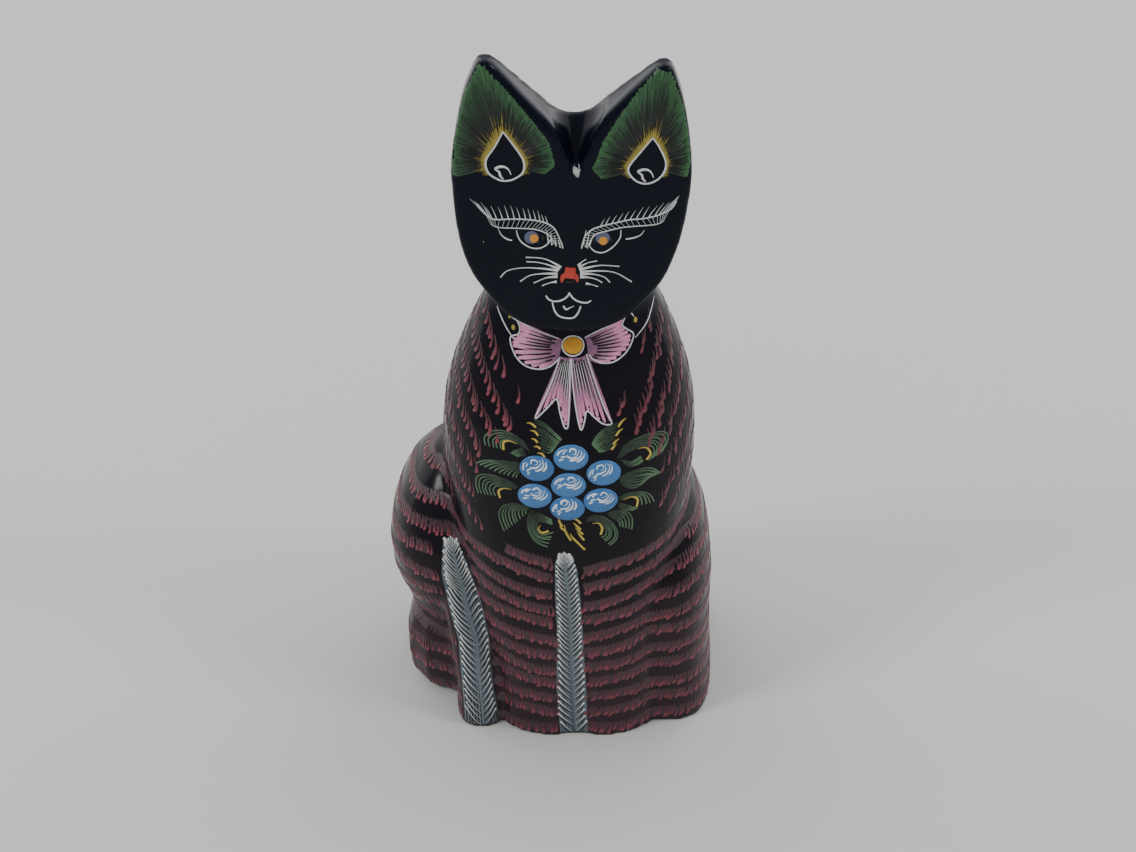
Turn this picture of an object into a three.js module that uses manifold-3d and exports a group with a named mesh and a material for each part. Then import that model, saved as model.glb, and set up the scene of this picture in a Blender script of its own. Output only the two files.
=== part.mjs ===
// Seated cat figurine, carved from one block of wood and left in one piece.
// The cat looks along -Y, +X is on its left, and it stands on the plane Z = 0. Sizes are in millimetres.
import * as THREE from "three";
import { ParametricGeometry } from "three/addons/geometries/ParametricGeometry.js";
import { mergeVertices } from "three/addons/utils/BufferGeometryUtils.js";
import Module from "manifold-3d";

// Driving dimensions
const HEIGHT = 200;
const HEAD_WIDTH = 57;
const HEAD_HEIGHT = 72;
const TORSO_WIDTH = 68;
const LEGS_WIDTH = 54;
const FRONT_Y = -38;
const BACK_Y = 40;
const FACE_Y = -27;

// The head leans by a little, as a hand-cut one does
const HEAD_ROLL = THREE.MathUtils.degToRad(1.5);
const HEAD_X = 0.6;

// Heights up the figure
const CHIN_Z = HEIGHT - HEAD_HEIGHT;
const CHEST_Z = 0.42 * HEIGHT;
const LEFT_HAUNCH_Z = 72;
const RIGHT_HAUNCH_Z = 78;
const WAIST_Z = 25;

// How far everything reaches below the floor before the base is cut flat
const SUNK = 8;

const wasm = await Module();
wasm.setup();

// A closed three.js geometry as a solid. Only its positions count, and doubled corners are merged.
function solid(geometry) {
  const bare = geometry.clone();
  bare.deleteAttribute("normal");
  bare.deleteAttribute("uv");
  const merged = mergeVertices(bare, 1e-3);
  const corners = merged.index.array;
  const triangles = [];
  for (let i = 0; i < corners.length; i += 3) {
    const [a, b, c] = corners.slice(i, i + 3);
    if (a !== b && b !== c && c !== a) triangles.push(a, b, c);
  }
  const mesh = new wasm.Mesh({
    numProp: 3,
    vertProperties: new Float32Array(merged.attributes.position.array),
    triVerts: new Uint32Array(triangles),
  });
  return new wasm.Manifold(mesh);
}

// A solid as a flat-shaded three.js geometry
function geometryOf(made) {
  const mesh = made.getMesh();
  const geometry = new THREE.BufferGeometry();
  geometry.setAttribute("position", new THREE.BufferAttribute(mesh.vertProperties, 3));
  geometry.setIndex(new THREE.BufferAttribute(mesh.triVerts, 1));
  const flat = geometry.toNonIndexed();
  flat.computeVertexNormals();
  return flat;
}

// A smooth value at height z, through stations of [z, value]
function profile(stations) {
  const curve = new THREE.SplineCurve(stations.map(([z, value]) => new THREE.Vector2(z, value)));
  const samples = curve.getPoints(20 * stations.length);
  return (z) => {
    const next = samples.findIndex((p) => p.x >= z);
    if (next < 0) return samples.at(-1).y;
    if (next === 0) return samples[0].y;
    const [a, b] = [samples[next - 1], samples[next]];
    return THREE.MathUtils.mapLinear(z, a.x, b.x, a.y, b.y);
  };
}

// A point at an angle round a squared-off ellipse. Angle 0 is +X and a quarter turn is +Y.
function squaredEllipse(angle, halfX, halfY, power) {
  const [c, s] = [Math.cos(angle), Math.sin(angle)];
  return [
    halfX * Math.sign(c) * Math.abs(c) ** (2 / power),
    halfY * Math.sign(s) * Math.abs(s) ** (2 / power),
  ];
}

// A closed body of flat rings. heightAt(along) gives each ring its height and its share of the full
// section, and section(z) gives the centre, the half sizes and the squareness at that height.
function ringed(heightAt, section, around, rings) {
  const place = (u, v, target) => {
    const step = Math.round(v * (rings + 2)) - 1;
    const along = THREE.MathUtils.clamp(step / rings, 0, 1);
    const { z, share } = heightAt(along);
    const { x, y, halfX, halfY, power, dent = 0 } = section(z);
    const open = step < 0 || step > rings ? 0 : share;
    const [dx, dy] = squaredEllipse(2 * Math.PI * u, halfX, halfY, power);
    const inward = dy < 0 ? dent * Math.exp(-((dx / 5) ** 2)) : 0;
    target.set(x + open * dx, y + open * (dy + inward), z);
  };
  return solid(new ParametricGeometry(place, around, rings + 2));
}

// A ringed body that ends in a flat top
function flatTopped(section, topZ, around, rings) {
  const heightAt = (along) => ({ z: THREE.MathUtils.lerp(-SUNK, topZ, along), share: 1 });
  return ringed(heightAt, section, around, rings);
}

// A ringed body that ends in a dome, which starts at domeZ and closes at topZ
function domed(section, domeZ, topZ, around, rings) {
  const heightAt = (along) => {
    if (along < 0.4) return { z: THREE.MathUtils.lerp(-SUNK, domeZ, along / 0.4), share: 1 };
    const turn = (Math.PI / 2) * ((along - 0.4) / 0.6);
    return { z: domeZ + (topZ - domeZ) * Math.sin(turn), share: Math.max(Math.cos(turn), 1e-4) };
  };
  return ringed(heightAt, section, around, rings);
}

// Torso, from the floor up into the head. Its lower half is the pair of front legs, carved as one, with a
// shallow dent between the two paws.
function torso() {
  const half = TORSO_WIDTH / 2;
  const legs = LEGS_WIDTH / 2;
  const halfWidth = profile([
    [-SUNK, legs],
    [18, legs],
    [38, legs + 2.6],
    [56, half - 1.8],
    [75, half],
    [88, half + 0.2],
    [100, half - 0.9],
    [110, half - 3.6],
    [120, half - 7.6],
    [130, half - 12],
    [142, half - 14.5],
    [160, half - 15],
  ]);
  const middle = profile([
    [-SUNK, 2.8],
    [18, 2.2],
    [40, 0.6],
    [CHEST_Z, 0.2],
    [130, 1],
    [160, 1],
  ]);
  const front = profile([
    [-SUNK, FRONT_Y],
    [20, FRONT_Y + 0.8],
    [50, FRONT_Y + 1.6],
    [75, FRONT_Y + 2],
    [95, FRONT_Y + 5],
    [112, FRONT_Y + 11],
    [126, FRONT_Y + 17],
    [160, FRONT_Y + 18],
  ]);
  const back = profile([
    [-SUNK, BACK_Y - 12],
    [40, BACK_Y - 12],
    [75, BACK_Y - 15],
    [105, BACK_Y - 22],
    [130, BACK_Y - 30],
    [160, BACK_Y - 38],
  ]);
  const power = profile([
    [-SUNK, 3.1],
    [20, 3],
    [60, 2.5],
    [90, 2.3],
    [160, 2.3],
  ]);
  const section = (z) => ({
    x: middle(z),
    y: (front(z) + back(z)) / 2,
    halfX: halfWidth(z),
    halfY: (back(z) - front(z)) / 2,
    power: power(z),
    dent: 1.2 * THREE.MathUtils.clamp(1 - z / 36, 0, 1),
  });
  return flatTopped(section, CHIN_Z + 18, 52, 26);
}

// The cat's left haunch, an upright column with a domed top
function leftHaunch() {
  const outer = profile([
    [-SUNK, 42.3],
    [10, 42.2],
    [22, 41.3],
    [40, 41.2],
    [LEFT_HAUNCH_Z, 40.3],
  ]);
  const front = profile([
    [-SUNK, -32],
    [20, -31],
    [45, -31],
    [LEFT_HAUNCH_Z, -27],
  ]);
  const back = profile([
    [-SUNK, BACK_Y - 9],
    [30, BACK_Y - 8],
    [LEFT_HAUNCH_Z, BACK_Y - 16],
  ]);
  const power = profile([
    [-SUNK, 3.4],
    [20, 3],
    [45, 2.5],
    [LEFT_HAUNCH_Z, 2.4],
  ]);
  const inner = 9;
  const section = (z) => ({
    x: (outer(z) + inner) / 2,
    y: (front(z) + back(z)) / 2,
    halfX: (outer(z) - inner) / 2,
    halfY: (back(z) - front(z)) / 2,
    power: power(z),
  });
  return domed(section, 40, LEFT_HAUNCH_Z, 36, 18);
}

// The cat's right haunch, which is the larger, and draws in above the tail
function rightHaunch() {
  const outer = profile([
    [-SUNK, -42],
    [12, -43],
    [WAIST_Z, -46],
    [36, -49.8],
    [46, -51],
    [RIGHT_HAUNCH_Z, -48.5],
  ]);
  const front = profile([
    [-SUNK, -19],
    [WAIST_Z, -20],
    [48, -24],
    [RIGHT_HAUNCH_Z, -19],
  ]);
  const back = profile([
    [-SUNK, BACK_Y - 12],
    [30, BACK_Y - 9],
    [RIGHT_HAUNCH_Z, BACK_Y - 14],
  ]);
  const inner = -9;
  const section = (z) => ({
    x: (outer(z) + inner) / 2,
    y: (front(z) + back(z)) / 2,
    halfX: (inner - outer(z)) / 2,
    halfY: (back(z) - front(z)) / 2,
    power: 2.4,
  });
  return domed(section, 46, RIGHT_HAUNCH_Z, 40, 20);
}

// A closed bar with upright rings along a path, its ends rounded off over the given share of its length
function bar(path, halfWidth, halfHeight, rounding, around, rings) {
  const place = (u, v, target) => {
    const step = Math.round(v * rings);
    const t = THREE.MathUtils.clamp(step / rings, 0, 1);
    const fromEnd = Math.min(t, 1 - t) / rounding;
    const share = fromEnd < 1 ? Math.sqrt(1 - (1 - fromEnd) ** 2) : 1;
    const centre = path.getPointAt(t);
    const along = path.getTangentAt(t);
    const across = new THREE.Vector3(-along.y, along.x, 0).normalize();
    const [side, up] = squaredEllipse(2 * Math.PI * u, halfWidth, halfHeight, 2.7);
    target.copy(centre).addScaledVector(across, share * side);
    target.z += share * up;
  };
  return solid(new ParametricGeometry(place, around, rings));
}

// The tail, which leaves the rump behind, lies on the floor round the right haunch and ends beside the
// right hind paw
function tail() {
  const z = WAIST_Z / 2 - 1;
  const path = new THREE.CatmullRomCurve3([
    new THREE.Vector3(20, 27, z),
    new THREE.Vector3(0, 33, z),
    new THREE.Vector3(-22, 30, z),
    new THREE.Vector3(-36, 17, z),
    new THREE.Vector3(-39.4, 2, z),
    new THREE.Vector3(-38.6, -11.4, z),
    new THREE.Vector3(-30, -14.6, z),
    new THREE.Vector3(-14, -15, z),
  ]);
  return bar(path, 7.4, WAIST_Z / 2, 0.1, 28, 30);
}

// The right hind paw, a ridge from the floor up the front of the haunch, into which it sinks
function hindPaw() {
  const across = profile([
    [-SUNK, -24.8],
    [12, -25.2],
    [32, -28],
    [58, -32],
  ]);
  const reach = profile([
    [-SUNK, -34.2],
    [12, -33.4],
    [28, -29.6],
    [42, -25.2],
    [56, -19],
  ]);
  const depth = 11;
  const section = (z) => ({ x: across(z), y: reach(z) + depth, halfX: 7.2, halfY: depth, power: 2.5 });
  return domed(section, 34, 56, 26, 16);
}

// The rump, which joins the two haunches behind
function rump() {
  const back = profile([
    [-SUNK, BACK_Y - 5],
    [25, BACK_Y - 2],
    [50, BACK_Y - 3],
    [78, BACK_Y - 7],
  ]);
  const section = (z) => ({ x: -2, y: back(z) - 34, halfX: 37, halfY: 34, power: 2.3 });
  return domed(section, 28, 78, 40, 16);
}

// The head seen from the front: a rounded shield that runs up into two pointed ears. Each cheek station is
// [share of the half width, height above the chin].
function headOutline() {
  const half = HEAD_WIDTH / 2;
  const earX = 20.3;
  const notchZ = HEAD_HEIGHT - 18.5;
  const cheek = [
    [0.3, 0.9],
    [0.55, 5],
    [0.72, 11],
    [0.84, 16.5],
    [0.932, 24.4],
    [0.976, 32.5],
    [1, 41],
    [0.998, 47],
    [0.949, 56],
    [0.886, 63.5],
    [0.81, 69.5],
  ];
  const right = cheek.map(([x, z]) => new THREE.Vector2(x * half, z));
  const left = cheek.map(([x, z]) => new THREE.Vector2(-x * half, z)).reverse();
  const shape = new THREE.Shape();
  shape.moveTo(0, 0);
  shape.splineThru(right);
  shape.quadraticCurveTo(earX + 2.2, HEAD_HEIGHT - 0.1, earX + 0.4, HEAD_HEIGHT);
  shape.quadraticCurveTo(earX - 1.4, HEAD_HEIGHT - 0.2, earX - 3.6, HEAD_HEIGHT - 2.8);
  shape.lineTo(4.5, notchZ + 2.6);
  shape.quadraticCurveTo(0, notchZ - 0.8, -4.5, notchZ + 2.6);
  shape.lineTo(3.6 - earX, HEAD_HEIGHT - 2.8);
  shape.quadraticCurveTo(1.4 - earX, HEAD_HEIGHT - 0.2, -0.4 - earX, HEAD_HEIGHT);
  shape.quadraticCurveTo(-2.2 - earX, HEAD_HEIGHT - 0.1, left[0].x, left[0].y);
  shape.splineThru([...left.slice(1), new THREE.Vector2(0, 0)]);
  return shape;
}

// The head, a thick wedge with a flat face in front, thinning to the ears above and rounded off behind
function head() {
  const depth = 40;
  const bevel = 1.5;
  const geometry = new THREE.ExtrudeGeometry(headOutline(), {
    depth: depth - 2 * bevel,
    steps: 5,
    curveSegments: 3,
    bevelThickness: bevel,
    bevelSize: bevel,
    bevelOffset: -bevel,
    bevelSegments: 2,
  });
  geometry.rotateX(Math.PI / 2);
  const thickness = profile([
    [0, 36],
    [20, 34],
    [38, 22],
    [HEAD_HEIGHT - 19, 10.5],
    [HEAD_HEIGHT, 4.6],
  ]);
  const p = geometry.attributes.position;
  for (let i = 0; i < p.count; i += 1) {
    const up = p.getZ(i);
    const behind = p.getY(i) + depth - bevel;
    const squeeze = (thickness(up) - bevel) / (depth - bevel);
    const deep = behind > bevel ? bevel + (behind - bevel) * squeeze : behind;
    const narrowing = 1 - 0.18 * (deep / depth) ** 2;
    p.setXYZ(i, p.getX(i) * narrowing, FACE_Y + deep, up);
  }
  const pivot = 0.5 * HEAD_HEIGHT;
  geometry.translate(0, 0, -pivot);
  geometry.rotateY(HEAD_ROLL);
  geometry.translate(HEAD_X, 0, CHIN_Z + pivot);
  return solid(geometry).subtract(gouge());
}

// The groove that runs forward and down from between the ears and dies out on the forehead
function gouge() {
  const length = 34;
  const halfAngle = THREE.MathUtils.degToRad(24.8);
  const lean = THREE.MathUtils.degToRad(15.2);
  const geometry = new THREE.ConeGeometry(length * Math.tan(halfAngle), length, 32);
  geometry.translate(0, -length / 2, 0);
  geometry.rotateX(-Math.PI / 2 - lean);
  geometry.translate(2, FACE_Y, CHIN_Z + 44.5);
  return solid(geometry);
}

const carved = [
  torso(),
  leftHaunch(),
  rightHaunch(),
  hindPaw(),
  tail(),
  rump(),
  head(),
].reduce((whole, next) => whole.add(next));

// The base is cut flat, and the foot of the figure is centred on the Z axis
const standing = carved.trimByPlane([0, 0, 1], 0);
const box = standing.boundingBox();
const centred = standing.translate([
  -(box.min[0] + box.max[0]) / 2,
  -(box.min[1] + box.max[1]) / 2,
  0,
]);

const wood = new THREE.MeshStandardMaterial({ color: 0x16161b, roughness: 0.3, metalness: 0 });
const figure = new THREE.Mesh(geometryOf(centred), wood);
figure.name = "carved_cat";

const cat = new THREE.Group();
cat.add(figure);
export default cat;
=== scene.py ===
# %% [markdown]
# # A carved and painted wooden cat
# The real object is one block of wood, cut into a seated cat, sanded, dipped in black lacquer and painted by
# hand with fine brushes. This lesson keeps that order: the block is sanded, lacquered, and then every brush
# stroke is laid on it as a thin film of paint that has a real shape.

# %% Load the carved block
import math
import random

import bmesh
import bpy
import numpy as np
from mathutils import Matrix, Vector, noise
from mathutils.bvhtree import BVHTree


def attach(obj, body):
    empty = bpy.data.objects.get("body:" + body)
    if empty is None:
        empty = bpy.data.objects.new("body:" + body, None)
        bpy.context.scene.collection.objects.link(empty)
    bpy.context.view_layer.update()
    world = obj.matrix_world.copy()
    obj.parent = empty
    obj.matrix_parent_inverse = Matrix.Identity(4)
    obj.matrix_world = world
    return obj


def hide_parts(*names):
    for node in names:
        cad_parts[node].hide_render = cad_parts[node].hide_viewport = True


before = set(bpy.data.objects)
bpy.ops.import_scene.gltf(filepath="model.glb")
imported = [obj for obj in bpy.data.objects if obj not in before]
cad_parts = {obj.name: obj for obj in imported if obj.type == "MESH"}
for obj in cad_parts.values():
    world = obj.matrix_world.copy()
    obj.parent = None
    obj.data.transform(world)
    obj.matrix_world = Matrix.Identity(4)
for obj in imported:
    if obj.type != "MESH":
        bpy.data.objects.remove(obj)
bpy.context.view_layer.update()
MM = 0.001

# %% [markdown]
# ## Two helpers for nodes and colours
# Materials and Geometry Nodes are both trees of nodes. One small function adds a node, sets it up and links
# it. Colours are written the way a picture editor shows them, and are turned to linear light in one place.


# %% Helpers for nodes and colours
def add(tree, kind, settings=None, inputs=None):
    """Adds a node. An input given a socket is linked to it, and any other value is set on it."""
    node = tree.nodes.new(kind)
    for name, value in (settings or {}).items():
        setattr(node, name, value)
    for name, value in (inputs or {}).items():
        socket = node.inputs[name]
        if isinstance(value, bpy.types.NodeSocket):
            tree.links.new(value, socket)
        else:
            socket.default_value = value
    return node


def colour(hex_code):
    """An sRGB hex code as linear red, green, blue and alpha."""
    parts = [int(hex_code[i : i + 2], 16) / 255 for i in (1, 3, 5)]
    linear = [c / 12.92 if c <= 0.04045 else ((c + 0.055) / 1.055) ** 2.4 for c in parts]
    return (*linear, 1.0)


def new_material(name):
    """An empty material with its shader, and the tree to build in."""
    material = bpy.data.materials.new(name)
    material.use_nodes = True
    tree = material.node_tree
    tree.nodes.clear()
    shader = add(tree, "ShaderNodeBsdfPrincipled")
    add(tree, "ShaderNodeOutputMaterial", inputs={"Surface": shader.outputs["BSDF"]})
    return material, tree, shader


print("mid grey is", [round(c, 3) for c in colour("#808080")])

# %% [markdown]
# ## Sanding the block
# A carver leaves flats and edges, and sandpaper takes them off until only soft edges and rounded hollows are
# left. A bevel would only treat the sharp edges, so the whole block is remade of small even faces and then
# smoothed, which is what sanding does. The underside stays flat, because the cat stands on it.

# %% The sanding
VOXEL = 0.9 * MM  # small enough for the tips of the ears
SANDING_PASSES = 18
PRESS_IN, LET_OUT = 0.5, -0.53  # the step out keeps the size, or the tips of the ears would be worn away
SOFT_PASSES = 60
SOFT_BEHIND, SOFT_ABOVE, SOFT_BLEND = -24 * MM, 128 * MM, 12 * MM  # the back of the head
EAR_BACK = 4.4 * MM
EAR_HEIGHTS, EAR_SHARES = (150, 168, 180, 192, 200), (0, 0.7, 1, 0.9, 0.5)
FLAT_FACE, EAR_SKYLINE = -27, -21
KNIFE_WAVE, KNIFE_SIZE = 0.16 * MM, 9 * MM
FOOT_BLEND = 6 * MM
SANDED_OFF = 0.3 * MM
UNSANDED_TIPS, TIP_BLEND = 150 * MM, 40 * MM


def merged_copy(source, name):
    """A copy of a mesh with its loose triangles joined."""
    mesh = bpy.data.meshes.new(name)
    work = bmesh.new()
    work.from_mesh(source)
    bmesh.ops.remove_doubles(work, verts=work.verts, dist=0.01 * MM)
    work.to_mesh(mesh)
    work.free()
    return mesh


def new_object(name, data):
    obj = bpy.data.objects.new(name, data)
    bpy.context.collection.objects.link(obj)
    return obj


def plain_mesh(obj):
    """The object's mesh with its modifiers worked in, and smooth to look at."""
    graph = bpy.context.evaluated_depsgraph_get()
    mesh = bpy.data.meshes.new_from_object(
        obj.evaluated_get(graph), preserve_all_data_layers=True, depsgraph=graph
    )
    mesh.polygons.foreach_set("use_smooth", [True] * len(mesh.polygons))
    return mesh


def sanded(mesh, passes, shares):
    """Moves every vertex by shares of the way to the middle of its neighbours, again and again."""
    count = len(mesh.vertices)
    place = np.empty(count * 3)
    mesh.vertices.foreach_get("co", place)
    place = place.reshape(-1, 3)
    ends = np.empty(len(mesh.edges) * 2, dtype=int)
    mesh.edges.foreach_get("vertices", ends)
    a, b = ends.reshape(-1, 2).T
    neighbours = np.bincount(ends, minlength=count)
    for _ in range(passes):
        for share in shares:
            for axis in range(3):
                column = place[:, axis]
                total = np.bincount(a, weights=column[b], minlength=count)
                total += np.bincount(b, weights=column[a], minlength=count)
                place[:, axis] = (1 - share) * column + share * total / neighbours
    return place


def ramp(values, start, length):
    """Rises from 0 to 1 over a length."""
    return np.clip((values - start) / length, 0, 1)


print("sanding:", SANDING_PASSES, "passes on faces of", round(VOXEL / MM, 1), "mm")

# %% Sand the block
block = new_object("block", merged_copy(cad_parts["carved_cat"].data, "block"))
remesh = block.modifiers.new("even faces", "REMESH")
remesh.mode = "VOXEL"
remesh.voxel_size = VOXEL
cat = new_object("sanded_cat", plain_mesh(block))
cat.data.name = "sanded_cat"
bpy.data.objects.remove(block)

place = sanded(cat.data, SANDING_PASSES, (PRESS_IN, LET_OUT))
# the back of the head is rubbed rounder than the rest, behind the flat face
soft = sanded(cat.data, SOFT_PASSES, (PRESS_IN,))
behind = ramp(place[:, 1], SOFT_BEHIND, SOFT_BLEND) * ramp(place[:, 2], SOFT_ABOVE, SOFT_BLEND)
place += (soft - place) * behind[:, None]
# the ears are as thick as the photograph shows them between the face and the skyline
thicker = EAR_BACK * np.interp(place[:, 2] / MM, EAR_HEIGHTS, EAR_SHARES)
place[:, 1] += thicker * np.interp(place[:, 1] / MM, (FLAT_FACE, EAR_SKYLINE), (0, 1))
cat.data.vertices.foreach_set("co", place.ravel())
# the knife leaves shallow waves, and the paper takes a little wood off except at the foot and the tips
outward = np.empty(place.size)
cat.data.vertices.foreach_get("normal", outward)
wave = np.array([noise.noise(Vector(point) / KNIFE_SIZE) for point in place])
taken = SANDED_OFF * (1 - ramp(place[:, 2], UNSANDED_TIPS, TIP_BLEND))
place += outward.reshape(-1, 3) * (ramp(place[:, 2], 0, FOOT_BLEND) * (KNIFE_WAVE * wave - taken))[:, None]
place[:, 2] = np.maximum(place[:, 2], 0)
cat.data.vertices.foreach_set("co", place.ravel())
print("sanded cat:", len(cat.data.vertices), "vertices")

# %% [markdown]
# ## Finding the surface
# The painter works on the front, then turns the cat. To lay a stroke we need the point of the wood that lies
# behind a place on the front view, so a ray is shot at it. A BVH tree finds the hit quickly.

# %% Find points on the surface
surface = BVHTree.FromObject(cat, bpy.context.evaluated_depsgraph_get())
OUTSIDE, FRONT = 0.2, 0.03  # metres before the middle: clear of the wood, and about where its front is


def on_front(x, z):
    """The point of the wood seen from straight ahead at x and z, which are in millimetres."""
    hit, _, _, _ = surface.ray_cast(Vector((x * MM, -OUTSIDE, z * MM)), Vector((0, 1, 0)))
    return hit or surface.find_nearest(Vector((x * MM, -FRONT, z * MM)))[0]


print("tip of the nose:", [round(c / MM, 1) for c in on_front(5, 145)])

# %% [markdown]
# ## Brush strokes
# A stroke of paint is a thin film that swells in the middle and thins out at its edges. A flat decal would
# have no thickness and a plain tube would stand too proud. So a tube is swept along the stroke, as wide as
# the brush left it, and is then pressed flat on the wood: each point keeps its place along the surface and
# only a small part of its height. Strokes, dabs and repeated hairs are all pressed, so it is a node group.


# %% The pressing, as a node group
def group_with(name, kinds):
    """A Geometry Nodes tree with named inputs, its input node, and its output node."""
    tree = bpy.data.node_groups.new(name, "GeometryNodeTree")
    tree.interface.new_socket("Geometry", in_out="INPUT", socket_type="NodeSocketGeometry")
    for label, kind in kinds.items():
        tree.interface.new_socket(label, in_out="INPUT", socket_type=kind)
    tree.interface.new_socket("Geometry", in_out="OUTPUT", socket_type="NodeSocketGeometry")
    return tree, add(tree, "NodeGroupInput"), add(tree, "NodeGroupOutput")


FILM_INPUTS = {
    "Ground": "NodeSocketObject",
    "Relief": "NodeSocketFloat",
    "Lift": "NodeSocketFloat",
    "Paint": "NodeSocketMaterial",
}


def wood(tree, start):
    """The geometry that the paint goes on."""
    return add(tree, "GeometryNodeObjectInfo", inputs={"Object": start.outputs["Ground"]}).outputs["Geometry"]


def nearest_wood(tree, start):
    """The point of the wood nearest to each point."""
    target = {"Target": wood(tree, start)}
    return add(tree, "GeometryNodeProximity", {"target_element": "FACES"}, target).outputs["Position"]


def wood_normal(tree, start):
    """The way out of the wood where it is nearest to each point."""
    normal = add(tree, "GeometryNodeInputNormal").outputs["Normal"]
    inputs = {"Mesh": wood(tree, start), "Value": normal}
    nearest = add(tree, "GeometryNodeSampleNearestSurface", {"data_type": "FLOAT_VECTOR"}, inputs)
    return nearest.outputs["Value"]


def make_press():
    """Keeps each point's place along the wood and a share of its height, plus a lift."""
    tree, start, end = group_with("press_on_wood", FILM_INPUTS)
    here = add(tree, "GeometryNodeInputPosition").outputs["Position"]
    foot = nearest_wood(tree, start)
    upright = wood_normal(tree, start)
    away = add(tree, "ShaderNodeVectorMath", {"operation": "SUBTRACT"}, {0: here, 1: foot}).outputs["Vector"]
    inputs = {0: away, 1: upright}
    height = add(tree, "ShaderNodeVectorMath", {"operation": "DOT_PRODUCT"}, inputs).outputs["Value"]
    inputs = {0: height, 1: start.outputs["Relief"], 2: start.outputs["Lift"]}
    pressed = add(tree, "ShaderNodeMath", {"operation": "MULTIPLY_ADD"}, inputs).outputs["Value"]
    inputs = {0: upright, "Scale": pressed}
    offset = add(tree, "ShaderNodeVectorMath", {"operation": "SCALE"}, inputs).outputs["Vector"]
    final = add(tree, "ShaderNodeVectorMath", {"operation": "ADD"}, {0: foot, 1: offset}).outputs["Vector"]
    inputs = {"Geometry": start.outputs["Geometry"], "Position": final}
    moved = add(tree, "GeometryNodeSetPosition", inputs=inputs).outputs["Geometry"]
    inputs = {"Geometry": moved, "Material": start.outputs["Paint"]}
    painted = add(tree, "GeometryNodeSetMaterial", inputs=inputs).outputs["Geometry"]
    tree.links.new(painted, end.inputs["Geometry"])
    return tree


press = make_press()


def pressed_film(tree, start, geometry):
    """Adds the pressing to a tree, after making real what only repeats, and gives its result."""
    real = add(tree, "GeometryNodeRealizeInstances", inputs={"Geometry": geometry}).outputs["Geometry"]
    inputs = {label: start.outputs[label] for label in FILM_INPUTS}
    return add(tree, "GeometryNodeGroup", {"node_tree": press}, {"Geometry": real, **inputs}).outputs[0]


print("pressing group:", len(press.nodes), "nodes")


# %% Strokes swept along a path
def make_brush():
    """Sweeps a ring of bristles along each path, as wide as the path says, and presses it on the wood."""
    kinds = {"Step": "NodeSocketFloat", "Sides": "NodeSocketInt", **FILM_INPUTS}
    tree, start, end = group_with("brush_strokes", kinds)
    curve = add(tree, "GeometryNodeMeshToCurve", inputs={"Mesh": start.outputs["Geometry"]}).outputs["Curve"]
    smooth = add(tree, "GeometryNodeCurveSplineType", {"spline_type": "CATMULL_ROM"}, {"Curve": curve})
    spacing = {"Curve": smooth.outputs["Curve"], "Length": start.outputs["Step"]}
    even = add(tree, "GeometryNodeResampleCurve", {"mode": "LENGTH"}, spacing).outputs["Curve"]
    inputs = {"Geometry": even, "Position": nearest_wood(tree, start)}
    laid = add(tree, "GeometryNodeSetPosition", inputs=inputs).outputs["Geometry"]
    inputs = {"Resolution": start.outputs["Sides"], "Radius": 1.0}
    bristles = add(tree, "GeometryNodeCurvePrimitiveCircle", inputs=inputs).outputs["Curve"]
    named = add(tree, "GeometryNodeInputNamedAttribute", {"data_type": "FLOAT"}, {"Name": "half_width"})
    width = named.outputs["Attribute"]
    inputs = {"Curve": laid, "Profile Curve": bristles, "Scale": width, "Fill Caps": True}
    swept = add(tree, "GeometryNodeCurveToMesh", inputs=inputs).outputs["Mesh"]
    tree.links.new(pressed_film(tree, start, swept), end.inputs["Geometry"])
    return tree


brush = make_brush()
print("brush group:", len(brush.nodes), "nodes")


def run_tree(tree, source, name, values):
    """Runs a tree on a mesh and gives the result as a plain object."""
    carrier = new_object(name, source)
    modifier = carrier.modifiers.new(name, "NODES")
    modifier.node_group = tree
    identifiers = {item.name: item.identifier for item in tree.interface.items_tree if item.in_out == "INPUT"}
    for label, value in values.items():
        modifier[identifiers[label]] = value
    mesh = plain_mesh(carrier)
    bpy.data.objects.remove(carrier)
    mesh.name = name
    print(name, "has", len(mesh.polygons), "faces")
    return new_object(name, mesh)


def paths_mesh(name, paths, **attributes):
    """A mesh of loose polylines, whose points carry the attributes."""
    edges, first = [], 0
    for path in paths:
        edges += [(first + i, first + i + 1) for i in range(len(path) - 1)]
        first += len(path)
    mesh = bpy.data.meshes.new(name)
    mesh.from_pydata([point for path in paths for point in path], edges, [])
    for label, values in attributes.items():
        mesh.attributes.new(label, "FLOAT", "POINT").data.foreach_set("value", values)
    return mesh


def film(material, lift, relief, ground=None):
    """The values that every layer of paint gives to the pressing. lift is in millimetres."""
    return {"Ground": ground or cat, "Relief": relief, "Lift": lift * MM, "Paint": material}


def paint(name, strokes, material, lift, relief=0.2, step=0.35, ground=None, sides=8):
    """Lays strokes of one paint. lift and step are in millimetres. Broad strokes need more sides."""
    paths, widths, tones = zip(*strokes)
    widths = [w * MM for half_widths in widths for w in half_widths]
    tones = [tone for along in tones for tone in along]
    mesh = paths_mesh(name, paths, half_width=widths, tone=tones)
    values = {"Step": step * MM, "Sides": sides, **film(material, lift, relief, ground)}
    return run_tree(brush, mesh, name, values)


# %% [markdown]
# ## How a brush moves
# A pointed brush leaves only a few kinds of stroke. Pressed and pulled away it leaves a comma, fat at one
# end. Drawn steadily it leaves an even line with soft ends. A kind is given by how the width changes on the
# way. With a width and the tones of the paint, which run from dark to light, it makes a mark.

# %% Kinds of stroke
LINE = (0.55, 1, 1, 1, 0.55)
EVEN = (0.7, 1, 1, 1, 0.7)
COMMA = (0.25, 0.45, 0.75, 1, 0.75)
WHISKER = (1, 0.85, 0.6, 0.4, 0.15)
PETAL = (0.3, 0.9, 1, 0.9, 0.3)

rng = random.Random(7)


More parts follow.
